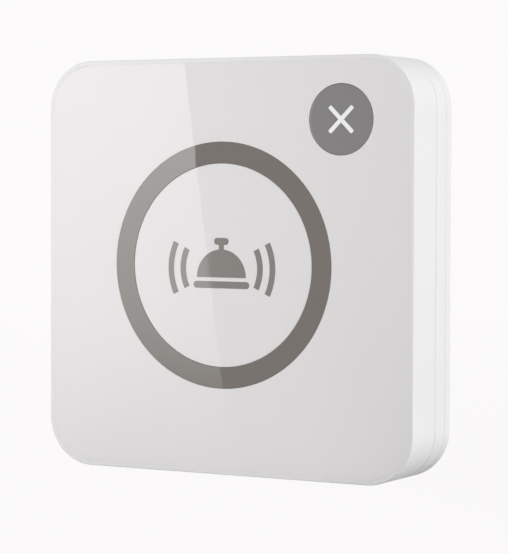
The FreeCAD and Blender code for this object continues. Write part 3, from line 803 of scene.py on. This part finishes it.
class CALLBUTTON_OT_FacePlate(bpy.types.Operator):
    """Builds the glossy face plate with its two round openings"""

    bl_idname = "callbutton.face_plate"
    bl_label = "Face Plate"

    def execute(self, context):
        case, keys, finishes = settings_of(context)

        def sections(size):
            return (size + LAND, 0), (size, 0), (size, case.plate_thickness)

        bm = bmesh.new()
        fronts, backs = zip(
            case_walls(bm, case, *sections(case.rim_width + case.plate_gap)),
            round_walls(bm, RING_CENTRE, *sections(keys.ring_outer + case.plate_gap)),
            round_walls(bm, CANCEL_CENTRE, *sections(keys.cancel_radius + keys.running_gap)),
        )
        fill(bm, *fronts)
        fill(bm, *backs)
        close_up(bm)
        soften(bm, case.plate_round, at_depth(0))
        gloss = polished_plastic("face_gloss", finishes.face)
        finish_piece(bm, "face_plate_glossy", "housing", gloss, "face_plate")
        return {"FINISHED"}


class CALLBUTTON_OT_FrontShell(bpy.types.Operator):
    """Builds the front shell: rim, walls, panel, CANCEL key's well, bosses, posts and clips"""

    bl_idname = "callbutton.front_shell"
    bl_label = "Front Shell"

    def execute(self, context):
        case, keys, finishes = settings_of(context)
        rim, wall, tongue, seam = case.rim_width, case.wall, case.tongue, case.seam_depth
        panel, root, floor = case.panel_front, case.panel_back, keys.floor_front
        hole, well = keys.ring_outer + case.plate_gap, keys.cancel_radius + keys.running_gap
        outside = well + 0.0012
        bm = bmesh.new()
        panel_front, panel_back = case_walls(
            bm, case, (rim, panel), (rim, 0), (0, 0), (0, seam), (tongue, seam), (tongue, seam - tongue),
            (wall, seam - tongue), (wall, root),
        )
        hole_front, hole_back = round_walls(bm, RING_CENTRE, (hole, panel), (hole, root))
        well_mouth, well_floor = round_walls(bm, CANCEL_CENTRE, (well, panel), (well, floor))
        well_root, well_end = round_walls(bm, CANCEL_CENTRE, (outside, root), (outside, RING_FLOOR_BACK))
        fill(bm, panel_front, hole_front, well_mouth)
        fill(bm, panel_back, hole_back, well_root)
        floor_fronts, floor_backs = add_floor_holes(
            bm, CANCEL_CENTRE, floor, stem=0.0042, reach=0.0043, thick=0.0011, wide=0.0029, count=2
        )
        fill(bm, well_floor, *floor_fronts)
        fill(bm, well_end, *floor_backs)
        close_up(bm)
        soften(bm, case.rim_round, on_case_edge(case, 0), steps=4)
        soften(bm, case.seam_round, on_case_edge(case, seam))
        self.add_supports(bm, case, keys.ring_outer + RING_LUG_LENGTH)
        finish_case_part(bm, "front_shell", "housing", "case_satin", finishes)
        return {"FINISHED"}

    def add_supports(self, bm, case, ring_lug_end):
        """Screw bosses with gussets, board posts with snap legs, and the clips of the light ring."""
        boss, bore, gusset, gusset_back = 0.0026, 0.00095, 0.00045, 0.0083
        post_inset, post_apart, post_width = 0.008, 0.014, 0.0032
        leg, leg_thick, leg_catch = 0.0012, 0.0009, 0.0006
        clip_width, clip_thick, clip_catch = 0.004, 0.001, 0.0008
        gap, head_end, leg_end = 0.00005, 0.0006, 0.00095
        root = case.panel_back
        for side in SIDES:
            screw = screw_place(side)
            add_tube(bm, screw, boss, bore, case.panel_front + 0.0002, case.seam_depth + 0.0005)
            near, far = screw.x + side * boss, side * (CASE_HALF - case.wall)
            add_box(bm, (near, root, screw.z - gusset), (far, gusset_back, screw.z + gusset))
            near, far = CASE_BOTTOM + case.wall, screw.z - boss
            add_box(bm, (screw.x - gusset, root, near), (screw.x + gusset, gusset_back, far))
            for end in SIDES:
                x, z = side * (CASE_HALF - post_inset), CASE_CENTRE.z + end * post_apart
                low, high = z - leg, z + leg
                add_block(bm, x, z, post_width, post_width, root, BOARD_FRONT)
                add_box(bm, (x, BOARD_FRONT, low), (x - side * leg_thick, BOARD_BACK + leg_end, high))
                add_box(bm, (x, BOARD_BACK + gap, low), (x + side * leg_catch, BOARD_BACK + head_end, high))
        clip, ring_back = ring_lug_end + gap, RING_FLOOR_BACK
        for inner, outer, front, back in (
            (clip, clip + clip_thick, root, ring_back + leg_end),
            (clip - clip_catch, clip, ring_back + gap, ring_back + head_end),
        ):
            add_spokes(bm, RING_CENTRE, inner, outer, clip_width, front, back, *RING_LUGS)


class CALLBUTTON_OT_LightRing(bpy.types.Operator):
    """Builds the smoked light ring, with the cup that carries the CALL key"""

    bl_idname = "callbutton.light_ring"
    bl_label = "Light Ring"

    def execute(self, context):
        case, keys, finishes = settings_of(context)
        outer, inner, floor = keys.ring_outer, keys.ring_inner, keys.floor_front
        lug_root, lug_end, lug_width = outer - 0.0005, outer + RING_LUG_LENGTH, 0.006
        middle = (inner + outer) / 2
        bm = bmesh.new()
        cup_back, cup_floor = round_walls(
            bm, RING_CENTRE, (outer, RING_FLOOR_BACK), (outer, 0), (middle, 0), (inner, 0), (inner, floor)
        )
        floor_fronts, floor_backs = add_floor_holes(
            bm, RING_CENTRE, floor, stem=0.006, reach=0.017, thick=0.0015, wide=0.0048, count=3
        )
        fill(bm, cup_floor, *floor_fronts)
        fill(bm, cup_back, *floor_backs)
        close_up(bm)
        soften(bm, keys.edge_round, at_depth(0))
        add_spokes(
            bm, RING_CENTRE, lug_root, lug_end, lug_width, case.panel_back, RING_FLOOR_BACK, *RING_LUGS
        )
        smoke = smoked_plastic("ring_smoke", finishes.ring)
        finish_piece(bm, "light_ring_smoked", "housing", smoke, "light_ring")
        return {"FINISHED"}


class CALLBUTTON_OT_CallKey(bpy.types.Operator):
    """Builds the round CALL key and the bell sign printed on it"""

    bl_idname = "callbutton.call_key"
    bl_label = "Call Key"

    def execute(self, context):
        _, keys, finishes = settings_of(context)
        cap = keys.cap_thickness
        rib_inner, rib_outer, rib_width, rib_back = 0.011, 0.0203, 0.001, 0.0023
        bm = bmesh.new()
        key_cap(bm, keys, RING_CENTRE, keys.call_radius, skirt_wall=0.0012)
        add_stem(bm, keys, RING_CENTRE, width=0.0048)
        add_spokes(bm, RING_CENTRE, rib_inner, rib_outer, rib_width, cap / 2, rib_back, count=6, start=0)
        add_hooks(bm, RING_CENTRE, cap, reach=0.0176, thick=0.0012, wide=0.0045, catch=0.0007, count=3)
        gloss = polished_plastic("key_gloss", finishes.face)
        finish_piece(bm, "call_key_glossy", "call_button", gloss, "call_key")
        sign = bmesh.new()
        self.draw_bell(sign, keys)
        ink = screen_print("sign_ink", finishes.sign)
        finish_piece(sign, "call_key_bell_sign", "call_button", ink)
        return {"FINISHED"}

    def draw_bell(self, bm, keys):
        """Desk bell with two waves of sound on each side, as thin ink, in tenths of its width."""
        unit, depth = keys.bell_width / 10, keys.print_depth
        dome_radius, dome_drop, wave_radii, wave_drop = 4.4 * unit, 1.9 * unit, (6.4, 8.6), 0.5 * unit
        bars = (  # height above the middle, width, height, and how round the ends are
            (-3.05, 10, 1.1, 0.48),
            (2.85, 0.9, 0.7, 0),
            (3.75, 2.6, 1.1, 0.48),
        )
        dome = bmesh.ops.create_circle(
            bm, cap_ends=True, segments=LARGE_STEPS, radius=dome_radius, matrix=place(RING_CENTRE, depth)
        )["verts"]
        geom = dome + edges_of(dome) + list(bm.faces)
        bmesh.ops.bisect_plane(bm, geom=geom, plane_co=RING_CENTRE, plane_no=(0, 0, -1), clear_outer=True)
        bmesh.ops.translate(bm, vec=(0, 0, -dome_drop), verts=bm.verts)
        for above, width, height, roundness in bars:
            middle, wide, high = RING_CENTRE + Vector((0, 0, above * unit)), width * unit, height * unit
            fill(bm, rounded_rectangle(bm, middle, wide, high, roundness * high, depth, SMALL_CORNER_STEPS))
        for radius in wave_radii:
            for side in SIDES:
                self.draw_wave(bm, Vector((0, FRONT_Y + depth, -wave_drop)), side, radius * unit, unit)
        thicken_print(bm, depth)

    def draw_wave(self, bm, shift, side, radius, width):
        """Arc of ink, from one short edge spun about the middle."""
        sweep, steps, centre = math.radians(52), 24, RING_CENTRE + shift
        ends = [bm.verts.new(around(centre, side * reach, -sweep / 2)) for reach in (radius, radius + width)]
        geom = ends + [bm.edges.new(ends)]
        bmesh.ops.spin(bm, geom=geom, cent=centre, axis=(0, 1, 0), angle=sweep, steps=steps, use_merge=False)


class CALLBUTTON_OT_CancelKey(bpy.types.Operator):
    """Builds the small grey CANCEL key and the cross printed on it"""

    bl_idname = "callbutton.cancel_key"
    bl_label = "Cancel Key"

    def execute(self, context):
        _, keys, finishes = settings_of(context)
        cap = keys.cap_thickness
        bm = bmesh.new()
        key_cap(bm, keys, CANCEL_CENTRE, keys.cancel_radius, skirt_wall=0.0009)
        add_stem(bm, keys, CANCEL_CENTRE, width=0.003)
        add_hooks(bm, CANCEL_CENTRE, cap, reach=0.0047, thick=0.0008, wide=0.0026, catch=0.0007, count=2)
        gloss = polished_plastic("cancel_gloss", finishes.cancel)
        finish_piece(bm, "cancel_key_glossy", "cancel_button", gloss, "cancel_key")
        sign = bmesh.new()
        self.draw_cross(sign, keys)
        ink = screen_print("cancel_ink", finishes.cancel_sign)
        finish_piece(sign, "cancel_key_cross_sign", "cancel_button", ink)
        return {"FINISHED"}

    def draw_cross(self, bm, keys):
        """Diagonal cross as thin ink, drawn out of a small square on all four sides."""
        half_bar = 0.085 * keys.cross_width
        corner, corner_steps = 0.6 * half_bar, 5
        reach = keys.cross_width / math.sqrt(2) - half_bar
        tips = []
        for edge in edges_of(square(bm, half_bar)):
            outwards = sum((v.co for v in edge.verts), Vector()).normalized()
            tip = verts_in(bmesh.ops.extrude_edge_only(bm, edges=[edge])["geom"])
            bmesh.ops.translate(bm, vec=outwards * reach, verts=tip)
            tips += tip
        round_corners(bm, tips, corner, corner_steps)
        turn = place(CANCEL_CENTRE, keys.print_depth) @ Matrix.Rotation(math.pi / 4, 4, "Z")
        bmesh.ops.transform(bm, matrix=turn, verts=bm.verts)
        thicken_print(bm, keys.print_depth)


class CALLBUTTON_OT_ReturnPads(bpy.types.Operator):
    """Builds the silicone pads that lift the keys"""

    bl_idname = "callbutton.return_pads"
    bl_label = "Return Pads"

    def execute(self, context):
        _, keys, _ = settings_of(context)
        call = dict(inner=0.0115, outer=0.015, width=0.008, count=3, start=30)
        cancel = dict(inner=0.0026, outer=0.0052, width=0.004, count=2, start=0)
        self.add_pads(keys, "call", RING_CENTRE, **call)
        self.add_pads(keys, "cancel", CANCEL_CENTRE, **cancel)
        return {"FINISHED"}

    def add_pads(self, keys, key, centre, inner, outer, width, count, start):
        """Small rounded blocks around a key's middle: a broad foot, and a narrower head under the cap."""
        foot, head = keys.floor_front - keys.pad_gap, keys.cap_thickness + keys.pad_gap
        waist, thick = (foot + head) / 2, outer - inner
        draw = 0.18 * thick
        bm = bmesh.new()
        for turn in turns(count, start):
            middle = around(centre, (inner + outer) / 2, turn)

            def outline(grow, depth):
                wide, long = thick + 2 * grow, width + 2 * grow
                corner = 0.3 * wide
                return rounded_rectangle(bm, middle, wide, long, corner, depth, SMALL_CORNER_STEPS, -turn)

            sole, crown = walls(bm, outline, (0, foot), (0, waist), (-draw, waist - draw), (-draw, head))
            fill(bm, sole)
            fill(bm, crown)
        close_up(bm)
        for end in (head, foot):
            soften(bm, keys.pad_round, at_depth(end))
        node, joint = key + "_return_pads", key + "_press"
        rubber = soft_rubber(node + "_silicone", (0.6, 0.62, 0.64))
        pads = finish_piece(bm, node + "_silicone", "housing", rubber, node)
        travel = next(row["range_m"][1] for row in frame["joints"] if row["name"] == joint)
        keep = 1 - travel / (foot - head)
        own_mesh(pads)


class CALLBUTTON_OT_RearShell(bpy.types.Operator):
    """Builds the rear shell with its battery opening, hook slots and screw posts"""

    bl_idname = "callbutton.rear_shell"
    bl_label = "Rear Shell"

    def execute(self, context):
        case, _, finishes = settings_of(context)
        wall, tongue, mouth = case.wall, case.tongue, case.seam_depth + case.seam_gap
        back, inner, ledge = HOUSING_BACK, HOUSING_BACK - case.back_wall, HOUSING_BACK - COVER_LEDGE
        seat = COVER_RADIUS + 0.00008
        opening = seat - COVER_LEG_INSET
        slot_size, slot_drop = (0.0066, 0.005, 0.0003), Vector((0, 0, -0.00155))
        head, shank, head_seat = 0.0022, 0.0012, back - 0.00145
        bm = bmesh.new()
        edges = [
            case_walls(
                bm, case, (LAND, back), (0, back), (0, mouth), (tongue, mouth), (tongue, mouth - tongue),
                (wall, mouth - tongue), (wall, inner),
            ),
            round_walls(
                bm, COVER_CENTRE, (seat + LAND, back), (seat, back), (seat, ledge), (opening, ledge),
                (opening, inner),
            ),
        ]
        for side in SIDES:
            edges += [
                oblong_walls(
                    bm, hook + slot_drop, *slot_size, HOOK_SLOT_STEPS, (LAND, back), (0, back), (0, inner)
                )
                for hook in hook_places(side)
            ]
            edges.append(round_walls(
                bm, screw_place(side), (head + LAND, back), (head, back), (head, head_seat),
                (shank, head_seat), (shank, inner), steps=SMALL_STEPS,
            ))
        backs, insides = zip(*edges)
        fill(bm, *backs)
        fill(bm, *insides)
        close_up(bm)
        soften(bm, case.back_round, at_depth(back))
        soften(bm, case.seam_round, on_case_edge(case, mouth))
        self.add_inside(bm, case, inner, opening, shank)
        finish_case_part(bm, "rear_shell", "housing", "case_satin_rear", finishes)
        return {"FINISHED"}

    def add_inside(self, bm, case, inner, opening, shank):
        """Collar of the battery opening, screw posts, ribs and snap tabs."""
        collar, post, post_front = opening + 0.0032, 0.0033, case.seam_depth + 0.0005
        rib_inset, rib_end, rib_width, rib_height = 0.0125, 0.0138, 0.001, 0.0008
        tab_inset, tab, tab_front, tab_thick, tab_gap = 0.012, 0.0015, 0.0078, 0.0011, 0.0001
        catch_back, catch_root, catch_reach = 0.0086, 0.0005, 0.0007
        top = CASE_TOP - case.wall - tab_gap
        add_tube(bm, COVER_CENTRE, collar, opening, inner - rib_height, inner, LARGE_STEPS)
        for side in SIDES:
            add_tube(bm, screw_place(side), post, shank, post_front, inner)
            x, length = side * (CASE_HALF - rib_inset), 2 * (CASE_HALF - rib_end)
            add_block(bm, x, CASE_CENTRE.z, rib_width, length, inner - rib_height, inner)
            x = side * (CASE_HALF - tab_inset)
            add_box(bm, (x - tab, tab_front, top - tab_thick), (x + tab, inner, top))
            add_box(bm, (x - tab, tab_front, top - catch_root), (x + tab, catch_back, top + catch_reach))


class CALLBUTTON_OT_BatteryCover(bpy.types.Operator):
    """Builds the round battery cover with its coin slot and bayonet legs"""

    bl_idname = "callbutton.battery_cover"
    bl_label = "Battery Cover"

    def execute(self, context):
        case, _, finishes = settings_of(context)
        back, front, radius = HOUSING_BACK, HOUSING_BACK - COVER_LEDGE + case.cover_gap, COVER_RADIUS
        slot_end, slot_size = back - 0.0006, (0.014, 0.0018, 0.00085)
        rim, leg_width, catch_back = radius - COVER_LEG_INSET, 0.0042, COVER_LEG_FRONT + 0.0006
        legs = (rim - 0.001, rim - 0.0003, slot_end), (rim - 0.0004, rim + 0.0009, catch_back)
        bm = bmesh.new()
        front_edge, back_edge = round_walls(
            bm, COVER_CENTRE, (radius, front), (radius, back), (radius - LAND, back)
        )
        slot_floor, slot_mouth = oblong_walls(
            bm, COVER_CENTRE, *slot_size, SMALL_CORNER_STEPS, (0, slot_end), (0, back), (LAND, back)
        )
        fill(bm, front_edge)
        fill(bm, slot_floor)
        fill(bm, back_edge, slot_mouth)
        close_up(bm)
        soften(bm, case.edge_round, at_depth(back))
        for inner, outer, end in legs:
            add_spokes(bm, COVER_CENTRE, inner, outer, leg_width, COVER_LEG_FRONT, end, count=3, start=90)
        finish_case_part(bm, "battery_cover", "battery_door", "cover_satin", finishes)
        return {"FINISHED"}


class CALLBUTTON_OT_WallPlate(bpy.types.Operator):
    """Builds the wall plate with its screw holes, tape pad recesses, ribs and hooks"""

    bl_idname = "callbutton.wall_plate"
    bl_label = "Wall Plate"

    def execute(self, context):
        case, _, finishes = settings_of(context)
        back, wall, screw = TOTAL_DEPTH, case.wall_plate_wall, case.screw_radius
        pad_size, pad_floor_depth = (case.pad_width, case.pad_height, case.pad_corner), back - case.pad_depth
        front, floor = HOUSING_BACK + case.plate_seam, back - wall
        bm = bmesh.new()
        back_edge, floor_edge = case_walls(
            bm, case, (2 * LAND, back), (0, back), (0, front), (wall, front), (wall, floor)
        )
        floor_holes, back_holes = [], []
        for side in SIDES:
            across = CASE_CENTRE + Vector((side * case.screw_spacing / 2, 0, 0))
            upwards = CASE_CENTRE + Vector((0, 0, side * case.pad_spacing / 2))
            floor_hole, back_hole = round_walls(
                bm, across, (screw, floor), (screw, back), (screw + LAND, back), steps=SMALL_STEPS
            )
            pad_rim, pad_floor = oblong_walls(
                bm, upwards, *pad_size, TAPE_PAD_STEPS, (LAND, back), (0, back), (0, pad_floor_depth)
            )
            fill(bm, pad_floor)
            floor_holes.append(floor_hole)
            back_holes += back_hole, pad_rim
        fill(bm, floor_edge, *floor_holes)
        fill(bm, back_edge, *back_holes)
        close_up(bm)
        soften(bm, case.wall_plate_round, on_case_edge(case, back), steps=5)
        soften(bm, case.edge_round, at_depth(back))
        soften(bm, case.back_round, at_depth(front))
        self.add_hooks_and_ribs(bm, CASE_HALF - wall, floor)
        finish_case_part(bm, "wall_plate", "wall_mount", "plate_satin", finishes)
        return {"FINISHED"}

    def add_hooks_and_ribs(self, bm, reach, floor):
        """Hooks that hold the housing, and ribs that cross on the plate's floor."""
        half_width, half_height, lip_back, lip_reach = 0.003, 0.0009, PLATE_HOOK_FRONT + 0.0011, 0.0033
        rib_offset, rib_width, rib_front = 0.016, 0.0012, floor - 0.0009
        for side in SIDES:
            for hook in hook_places(side):
                corner = (hook.x - half_width, PLATE_HOOK_FRONT, hook.z - half_height)
                add_box(bm, corner, (hook.x + half_width, floor, hook.z + half_height))
                add_box(bm, corner, (hook.x + half_width, lip_back, hook.z + lip_reach))
            offset = side * rib_offset
            add_block(bm, offset, CASE_CENTRE.z, rib_width, 2 * reach, rib_front, floor)
            add_block(bm, 0, CASE_CENTRE.z + offset, 2 * reach, rib_width, rib_front, floor)


class CALLBUTTON_OT_CaseScrews(bpy.types.Operator):
    """Builds the two case screws with their threads and cross recesses"""

    bl_idname = "callbutton.case_screws"
    bl_label = "Case Screws"

    def execute(self, context):
        low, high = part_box("case_screws")
        radius = (high.z - low.z) / 2
        bm = bmesh.new()
        for x in (low.x + radius, high.x - radius):
            self.add_screw(bm, Vector((x, 0, low.z + radius)), context.scene.callbutton_screws, radius)
        close_up(bm)
        zinc = brushed_metal("screw_zinc", (0.6, 0.61, 0.63), 0.28)
        finish_piece(bm, "case_screws_threaded", "housing", zinc, "case_screws")
        return {"FINISHED"}

    def add_screw(self, bm, middle, sizes, radius):
        """Thread from the tip up to the shank, then a pan head with its recess."""
        tip, top = front_of("case_screws"), back_of("case_screws")
        root, crest, pitch, seat = sizes.root, sizes.crest, sizes.pitch, top - sizes.head_height
        depth, rim = tip + 0.0004, 0.00008
        thread = [(0.5 * root, tip), (root, depth)]
        while depth + 2 * pitch < seat:
            thread += [(crest, depth + 0.4 * pitch), (root, depth + 0.7 * pitch), (root, depth + pitch)]
            depth += pitch
        head = [
            (crest, seat - 0.0003),
            (crest, seat),
            (radius - rim, seat),
            (radius, seat + rim),
            (radius, seat + 0.0006),
            (0.97 * radius, top - 0.0003),
            (0.88 * radius, top - 0.0001),
            (0.74 * radius, top),
        ]
        recess = (0.8 * sizes.recess, top - sizes.recess_depth), (sizes.recess, top)
        point, crown = round_walls(bm, middle, *thread, *head, steps=SCREW_STEPS)
        floor, mouth = walls(bm, lambda width, depth: cross_outline(bm, middle, width, depth), *recess)
        fill(bm, point)
        fill(bm, floor)
        fill(bm, crown, mouth)


class CALLBUTTON_OT_CoinCell(bpy.types.Operator):
    """Builds the coin cell: a steel can, its sealing ring and the smaller lid"""

    bl_idname = "callbutton.coin_cell"
    bl_label = "Coin Cell"

    def execute(self, context):
        lid = (  # share of the radius, and depth behind the front
            (0, 0), (0.86, 0), (0.875, 0.0001), (0.88, 0.00035), (0.93, 0.0004), (0.935, 0.0002),
            (0.955, 0.00015), (0.98, 0.0003), (1, 0.0007),
        )
        can = (  # share of the radius, and height above the back
            (1, 0.00035), (0.993, 0.00012), (0.975, 0), (0.85, 0), (0.845, 0.00004), (0, 0.00004)
        )
        radius, front, back = half_width_of("coin_cell"), front_of("coin_cell"), back_of("coin_cell")
        profile = [(share * radius, front + depth) for share, depth in lid]
        profile += [(share * radius, back - height) for share, height in can]
        bm = bmesh.new()
        add_turned(bm, middle_of("coin_cell"), profile)
        close_up(bm)
        steel = brushed_metal("cell_can", (0.72, 0.72, 0.73), 0.16, 1800)
        finish_piece(bm, "coin_cell_steel", "housing", steel, "coin_cell")
        return {"FINISHED"}


class CALLBUTTON_OT_InnerFinishes(bpy.types.Operator):
    """Gives every inner piece its finish"""

    bl_idname = "callbutton.inner_finishes"
    bl_label = "Inner Pieces"

    def execute(self, context):
        for name, (finish, *values) in INNER_FINISHES.items():
            materials = frame["nodes"][name].data.materials
            materials.clear()
            materials.append(finish(*values))
        return {"FINISHED"}


# --- Stage
LAMPS = (  # name, place, width and height, power in watts
    ("Side softbox", (0.9, 0.05, 0.15), (0.5, 0.5), 5.85),
    ("Front softbox", (-0.085, -0.16, 0.03), (0.12, 0.22), 0.091),
    ("Upper softbox", (-0.02, -0.2, 0.2), (0.2, 0.1), 0.062),
    ("Back softbox", (-0.5, 0.7, 0.45), (0.5, 0.5), 1.6),
)
FACE_MIDDLE = Vector((0, FRONT_Y, CASE_CENTRE.z))
UP = Vector((0, 0, 1))


def camera_back(studio):
    """Direction from the face towards the camera."""
    across, level = math.sin(studio.azimuth), math.cos(studio.elevation)
    return Vector((across * level, -math.cos(studio.azimuth) * level, math.sin(studio.elevation)))


def axes_of(across, upwards):
    """Turn that lays X along one direction and Y along another."""
    return Matrix((across, upwards, across.cross(upwards))).transposed().to_4x4()


class CALLBUTTON_OT_Stage(bpy.types.Operator):
    """Sets up the floor, the soft lights, the backdrop and the camera"""

    bl_idname = "callbutton.stage"
    bl_label = "Stage"

    def execute(self, context):
        scene = context.scene
        background, studio = scene.callbutton_finishes.background, scene.callbutton_studio
        scene.view_settings.view_transform = "Standard"
        self.add_world(scene, background)
        self.add_floor(background)
        self.add_card(studio)
        for lamp in LAMPS:
            self.add_lamp(scene, *lamp)
        self.add_camera(scene, studio)
        return {"FINISHED"}

    def add_world(self, scene, background):
        """Pale backdrop for what sees it, and a plain level of light for the rest."""
        world = bpy.data.worlds.new("Studio")
        scene.world = world
        world.use_nodes = True
        w = Nodes(world.node_tree)
        height = w.axis(w.node("ShaderNodeTexCoord", output="Generated"), "Z")
        gloss = w.node("ShaderNodeLightPath", output="Is Glossy Ray")
        fade = w.ramp(height * height, (0.02, 0.0), (0.3, 1.0))
        light = w.glow((1, 1, 1), 0.986 - height * 0.54, "ShaderNodeBackground")
        seen = w.glow(background, 1.0 - gloss * fade * 0.5, "ShaderNodeBackground")
        w.show(world.node_tree.nodes["World Output"], w.mix(w.background_rays(), light, seen))

    def add_floor(self, background):
        """Pale floor that shows nearly as the backdrop and keeps a faint shadow."""
        s = Shader("floor_paper")
        here = s.node("ShaderNodeTexCoord", output="Object")
        # Painted shade: the paper is darker to the right of and behind the case, where its shadow falls, so
        # that it throws less light back on the case's lower right corner
        clear_of_painted_shade = s.ramp(s.axis(here, "X") * 10 + s.axis(here, "Y") * 8 + 0.18, (0.3, 1.0), (0.7, 0.0))
        s.set(Base_Color=s.mottle(clear_of_painted_shade, background, 0.25, 0.75), Roughness=0.9)
        reach = s.node("ShaderNodeVectorMath", {"operation": "LENGTH"}, {0: here}, output="Value")
        span = {"Value": reach, "From Min": 0.08, "From Max": 0.6, "To Min": 0.975, "To Max": 1.0}
        level = s.node("ShaderNodeMapRange", {"clamp": True}, span)
        paper = Value(s, s.principled.outputs[0])
        s.show(s.output, s.mix(s.background_rays() * level, paper, s.glow(background, 1.0)))
        bm = bmesh.new()
        square(bm, half=4)
        floor = add_object(bm, "Floor", s.material)
        floor.visible_glossy = False

    def add_card(self, studio):
        """Light card to the left of the camera, which the glossy face mirrors along one edge."""
        distance, width, height = 0.2, 0.1, 0.17
        edge_foot, edge_lean = 0.00457, math.radians(6.9)
        foot, rise, power = -0.025, 0.12, 4.15
        levels = (0.0, 0.25), (0.11, 0.285), (0.23, 0.375), (0.36, 0.5), (0.97, 0.77)
        s = Shader("card_glow")
        above = s.axis(s.node("ShaderNodeTexCoord", output="Object"), "Z") - foot
        s.show(s.output, s.glow(s.ramp(above * (1 / rise), *levels), power))
        back = camera_back(studio)
        away = Vector((-back.x, back.y, -back.z))
        across = away.cross(UP).normalized()
        stand = Matrix.Translation(FACE_MIDDLE + away * distance) @ axes_of(across, across.cross(away))
        lean = Matrix.Rotation(-edge_lean, 4, "Z") @ Matrix.Translation((edge_foot + width / 2, 0, 0))
        bm = bmesh.new()
        matrix = stand @ lean @ Matrix.Diagonal((width, height, 1, 1))
        bmesh.ops.transform(bm, matrix=matrix, verts=square(bm))
        card = add_object(bm, "Light card", s.material)
        card.visible_camera = False
        card.visible_diffuse = False
        card.visible_shadow = False

    def add_lamp(self, scene, name, stand, size, power):
        """Soft lamp that looks at the middle of the case."""
        lamp = bpy.data.lights.new(name, "AREA")
        lamp.shape = "RECTANGLE"
        lamp.size, lamp.size_y = size
        lamp.energy = power
        holder = bpy.data.objects.new(name, lamp)
        holder.location = stand
        holder.rotation_euler = (CASE_CENTRE - Vector(stand)).to_track_quat("-Z", "Y").to_euler()
        holder.visible_camera = False
        holder.visible_glossy = False
        scene.collection.objects.link(holder)

    def add_camera(self, scene, studio):
        """Camera that looks square at the face's middle, apart from its roll and shift."""
        camera = bpy.data.cameras.new("Camera")
        camera.lens, camera.shift_x, camera.shift_y = studio.lens, studio.shift_x, studio.shift_y
        holder = bpy.data.objects.new("Camera", camera)
        back = camera_back(studio)
        across = Vector((math.cos(studio.azimuth), math.sin(studio.azimuth), 0))
        stand = Matrix.Translation(FACE_MIDDLE + back * studio.distance)
        roll = Matrix.Rotation(studio.roll, 4, "Z")
        holder.matrix_world = stand @ axes_of(across, back.cross(across)) @ roll
        scene.collection.objects.link(holder)
        scene.camera = holder


# --- Add-on
PIECE_OPERATORS = (
    CALLBUTTON_OT_FacePlate,
    CALLBUTTON_OT_FrontShell,
    CALLBUTTON_OT_LightRing,
    CALLBUTTON_OT_CallKey,
    CALLBUTTON_OT_CancelKey,
    CALLBUTTON_OT_ReturnPads,
    CALLBUTTON_OT_RearShell,
    CALLBUTTON_OT_BatteryCover,
    CALLBUTTON_OT_WallPlate,
    CALLBUTTON_OT_CaseScrews,
    CALLBUTTON_OT_CoinCell,
    CALLBUTTON_OT_InnerFinishes,
    CALLBUTTON_OT_Stage,
)
SETTINGS = {
    "callbutton_case": CALLBUTTON_CaseSizes,
    "callbutton_keys": CALLBUTTON_KeySizes,
    "callbutton_screws": CALLBUTTON_ScrewSizes,
    "callbutton_finishes": CALLBUTTON_Finishes,
    "callbutton_studio": CALLBUTTON_Studio,
}


class CALLBUTTON_PT_Panel(bpy.types.Panel):
    """Sizes, finishes and operators of the call button"""

    bl_idname = "CALLBUTTON_PT_panel"
    bl_label = "Call Button"
    bl_space_type = "VIEW_3D"
    bl_region_type = "UI"
    bl_category = "Call Button"

    def draw(self, context):
        for attribute in SETTINGS:
            settings = getattr(context.scene, attribute)
            box = self.layout.box()
            for name in settings.__annotations__:
                box.prop(settings, name)
        for operator in PIECE_OPERATORS:
            self.layout.operator(operator.bl_idname)


CLASSES = (*SETTINGS.values(), *PIECE_OPERATORS, CALLBUTTON_PT_Panel)


def register():
    for cls in CLASSES:
        bpy.utils.register_class(cls)
    for attribute, group in SETTINGS.items():
        setattr(bpy.types.Scene, attribute, PointerProperty(type=group))


def unregister():
    for attribute in SETTINGS:
        delattr(bpy.types.Scene, attribute)
    for cls in reversed(CLASSES):
        bpy.utils.unregister_class(cls)


def main():
    register()
    for operator in PIECE_OPERATORS:
        group, name = operator.bl_idname.split(".")
        getattr(getattr(bpy.ops, group), name)()


if __name__ == "__main__":
    main()
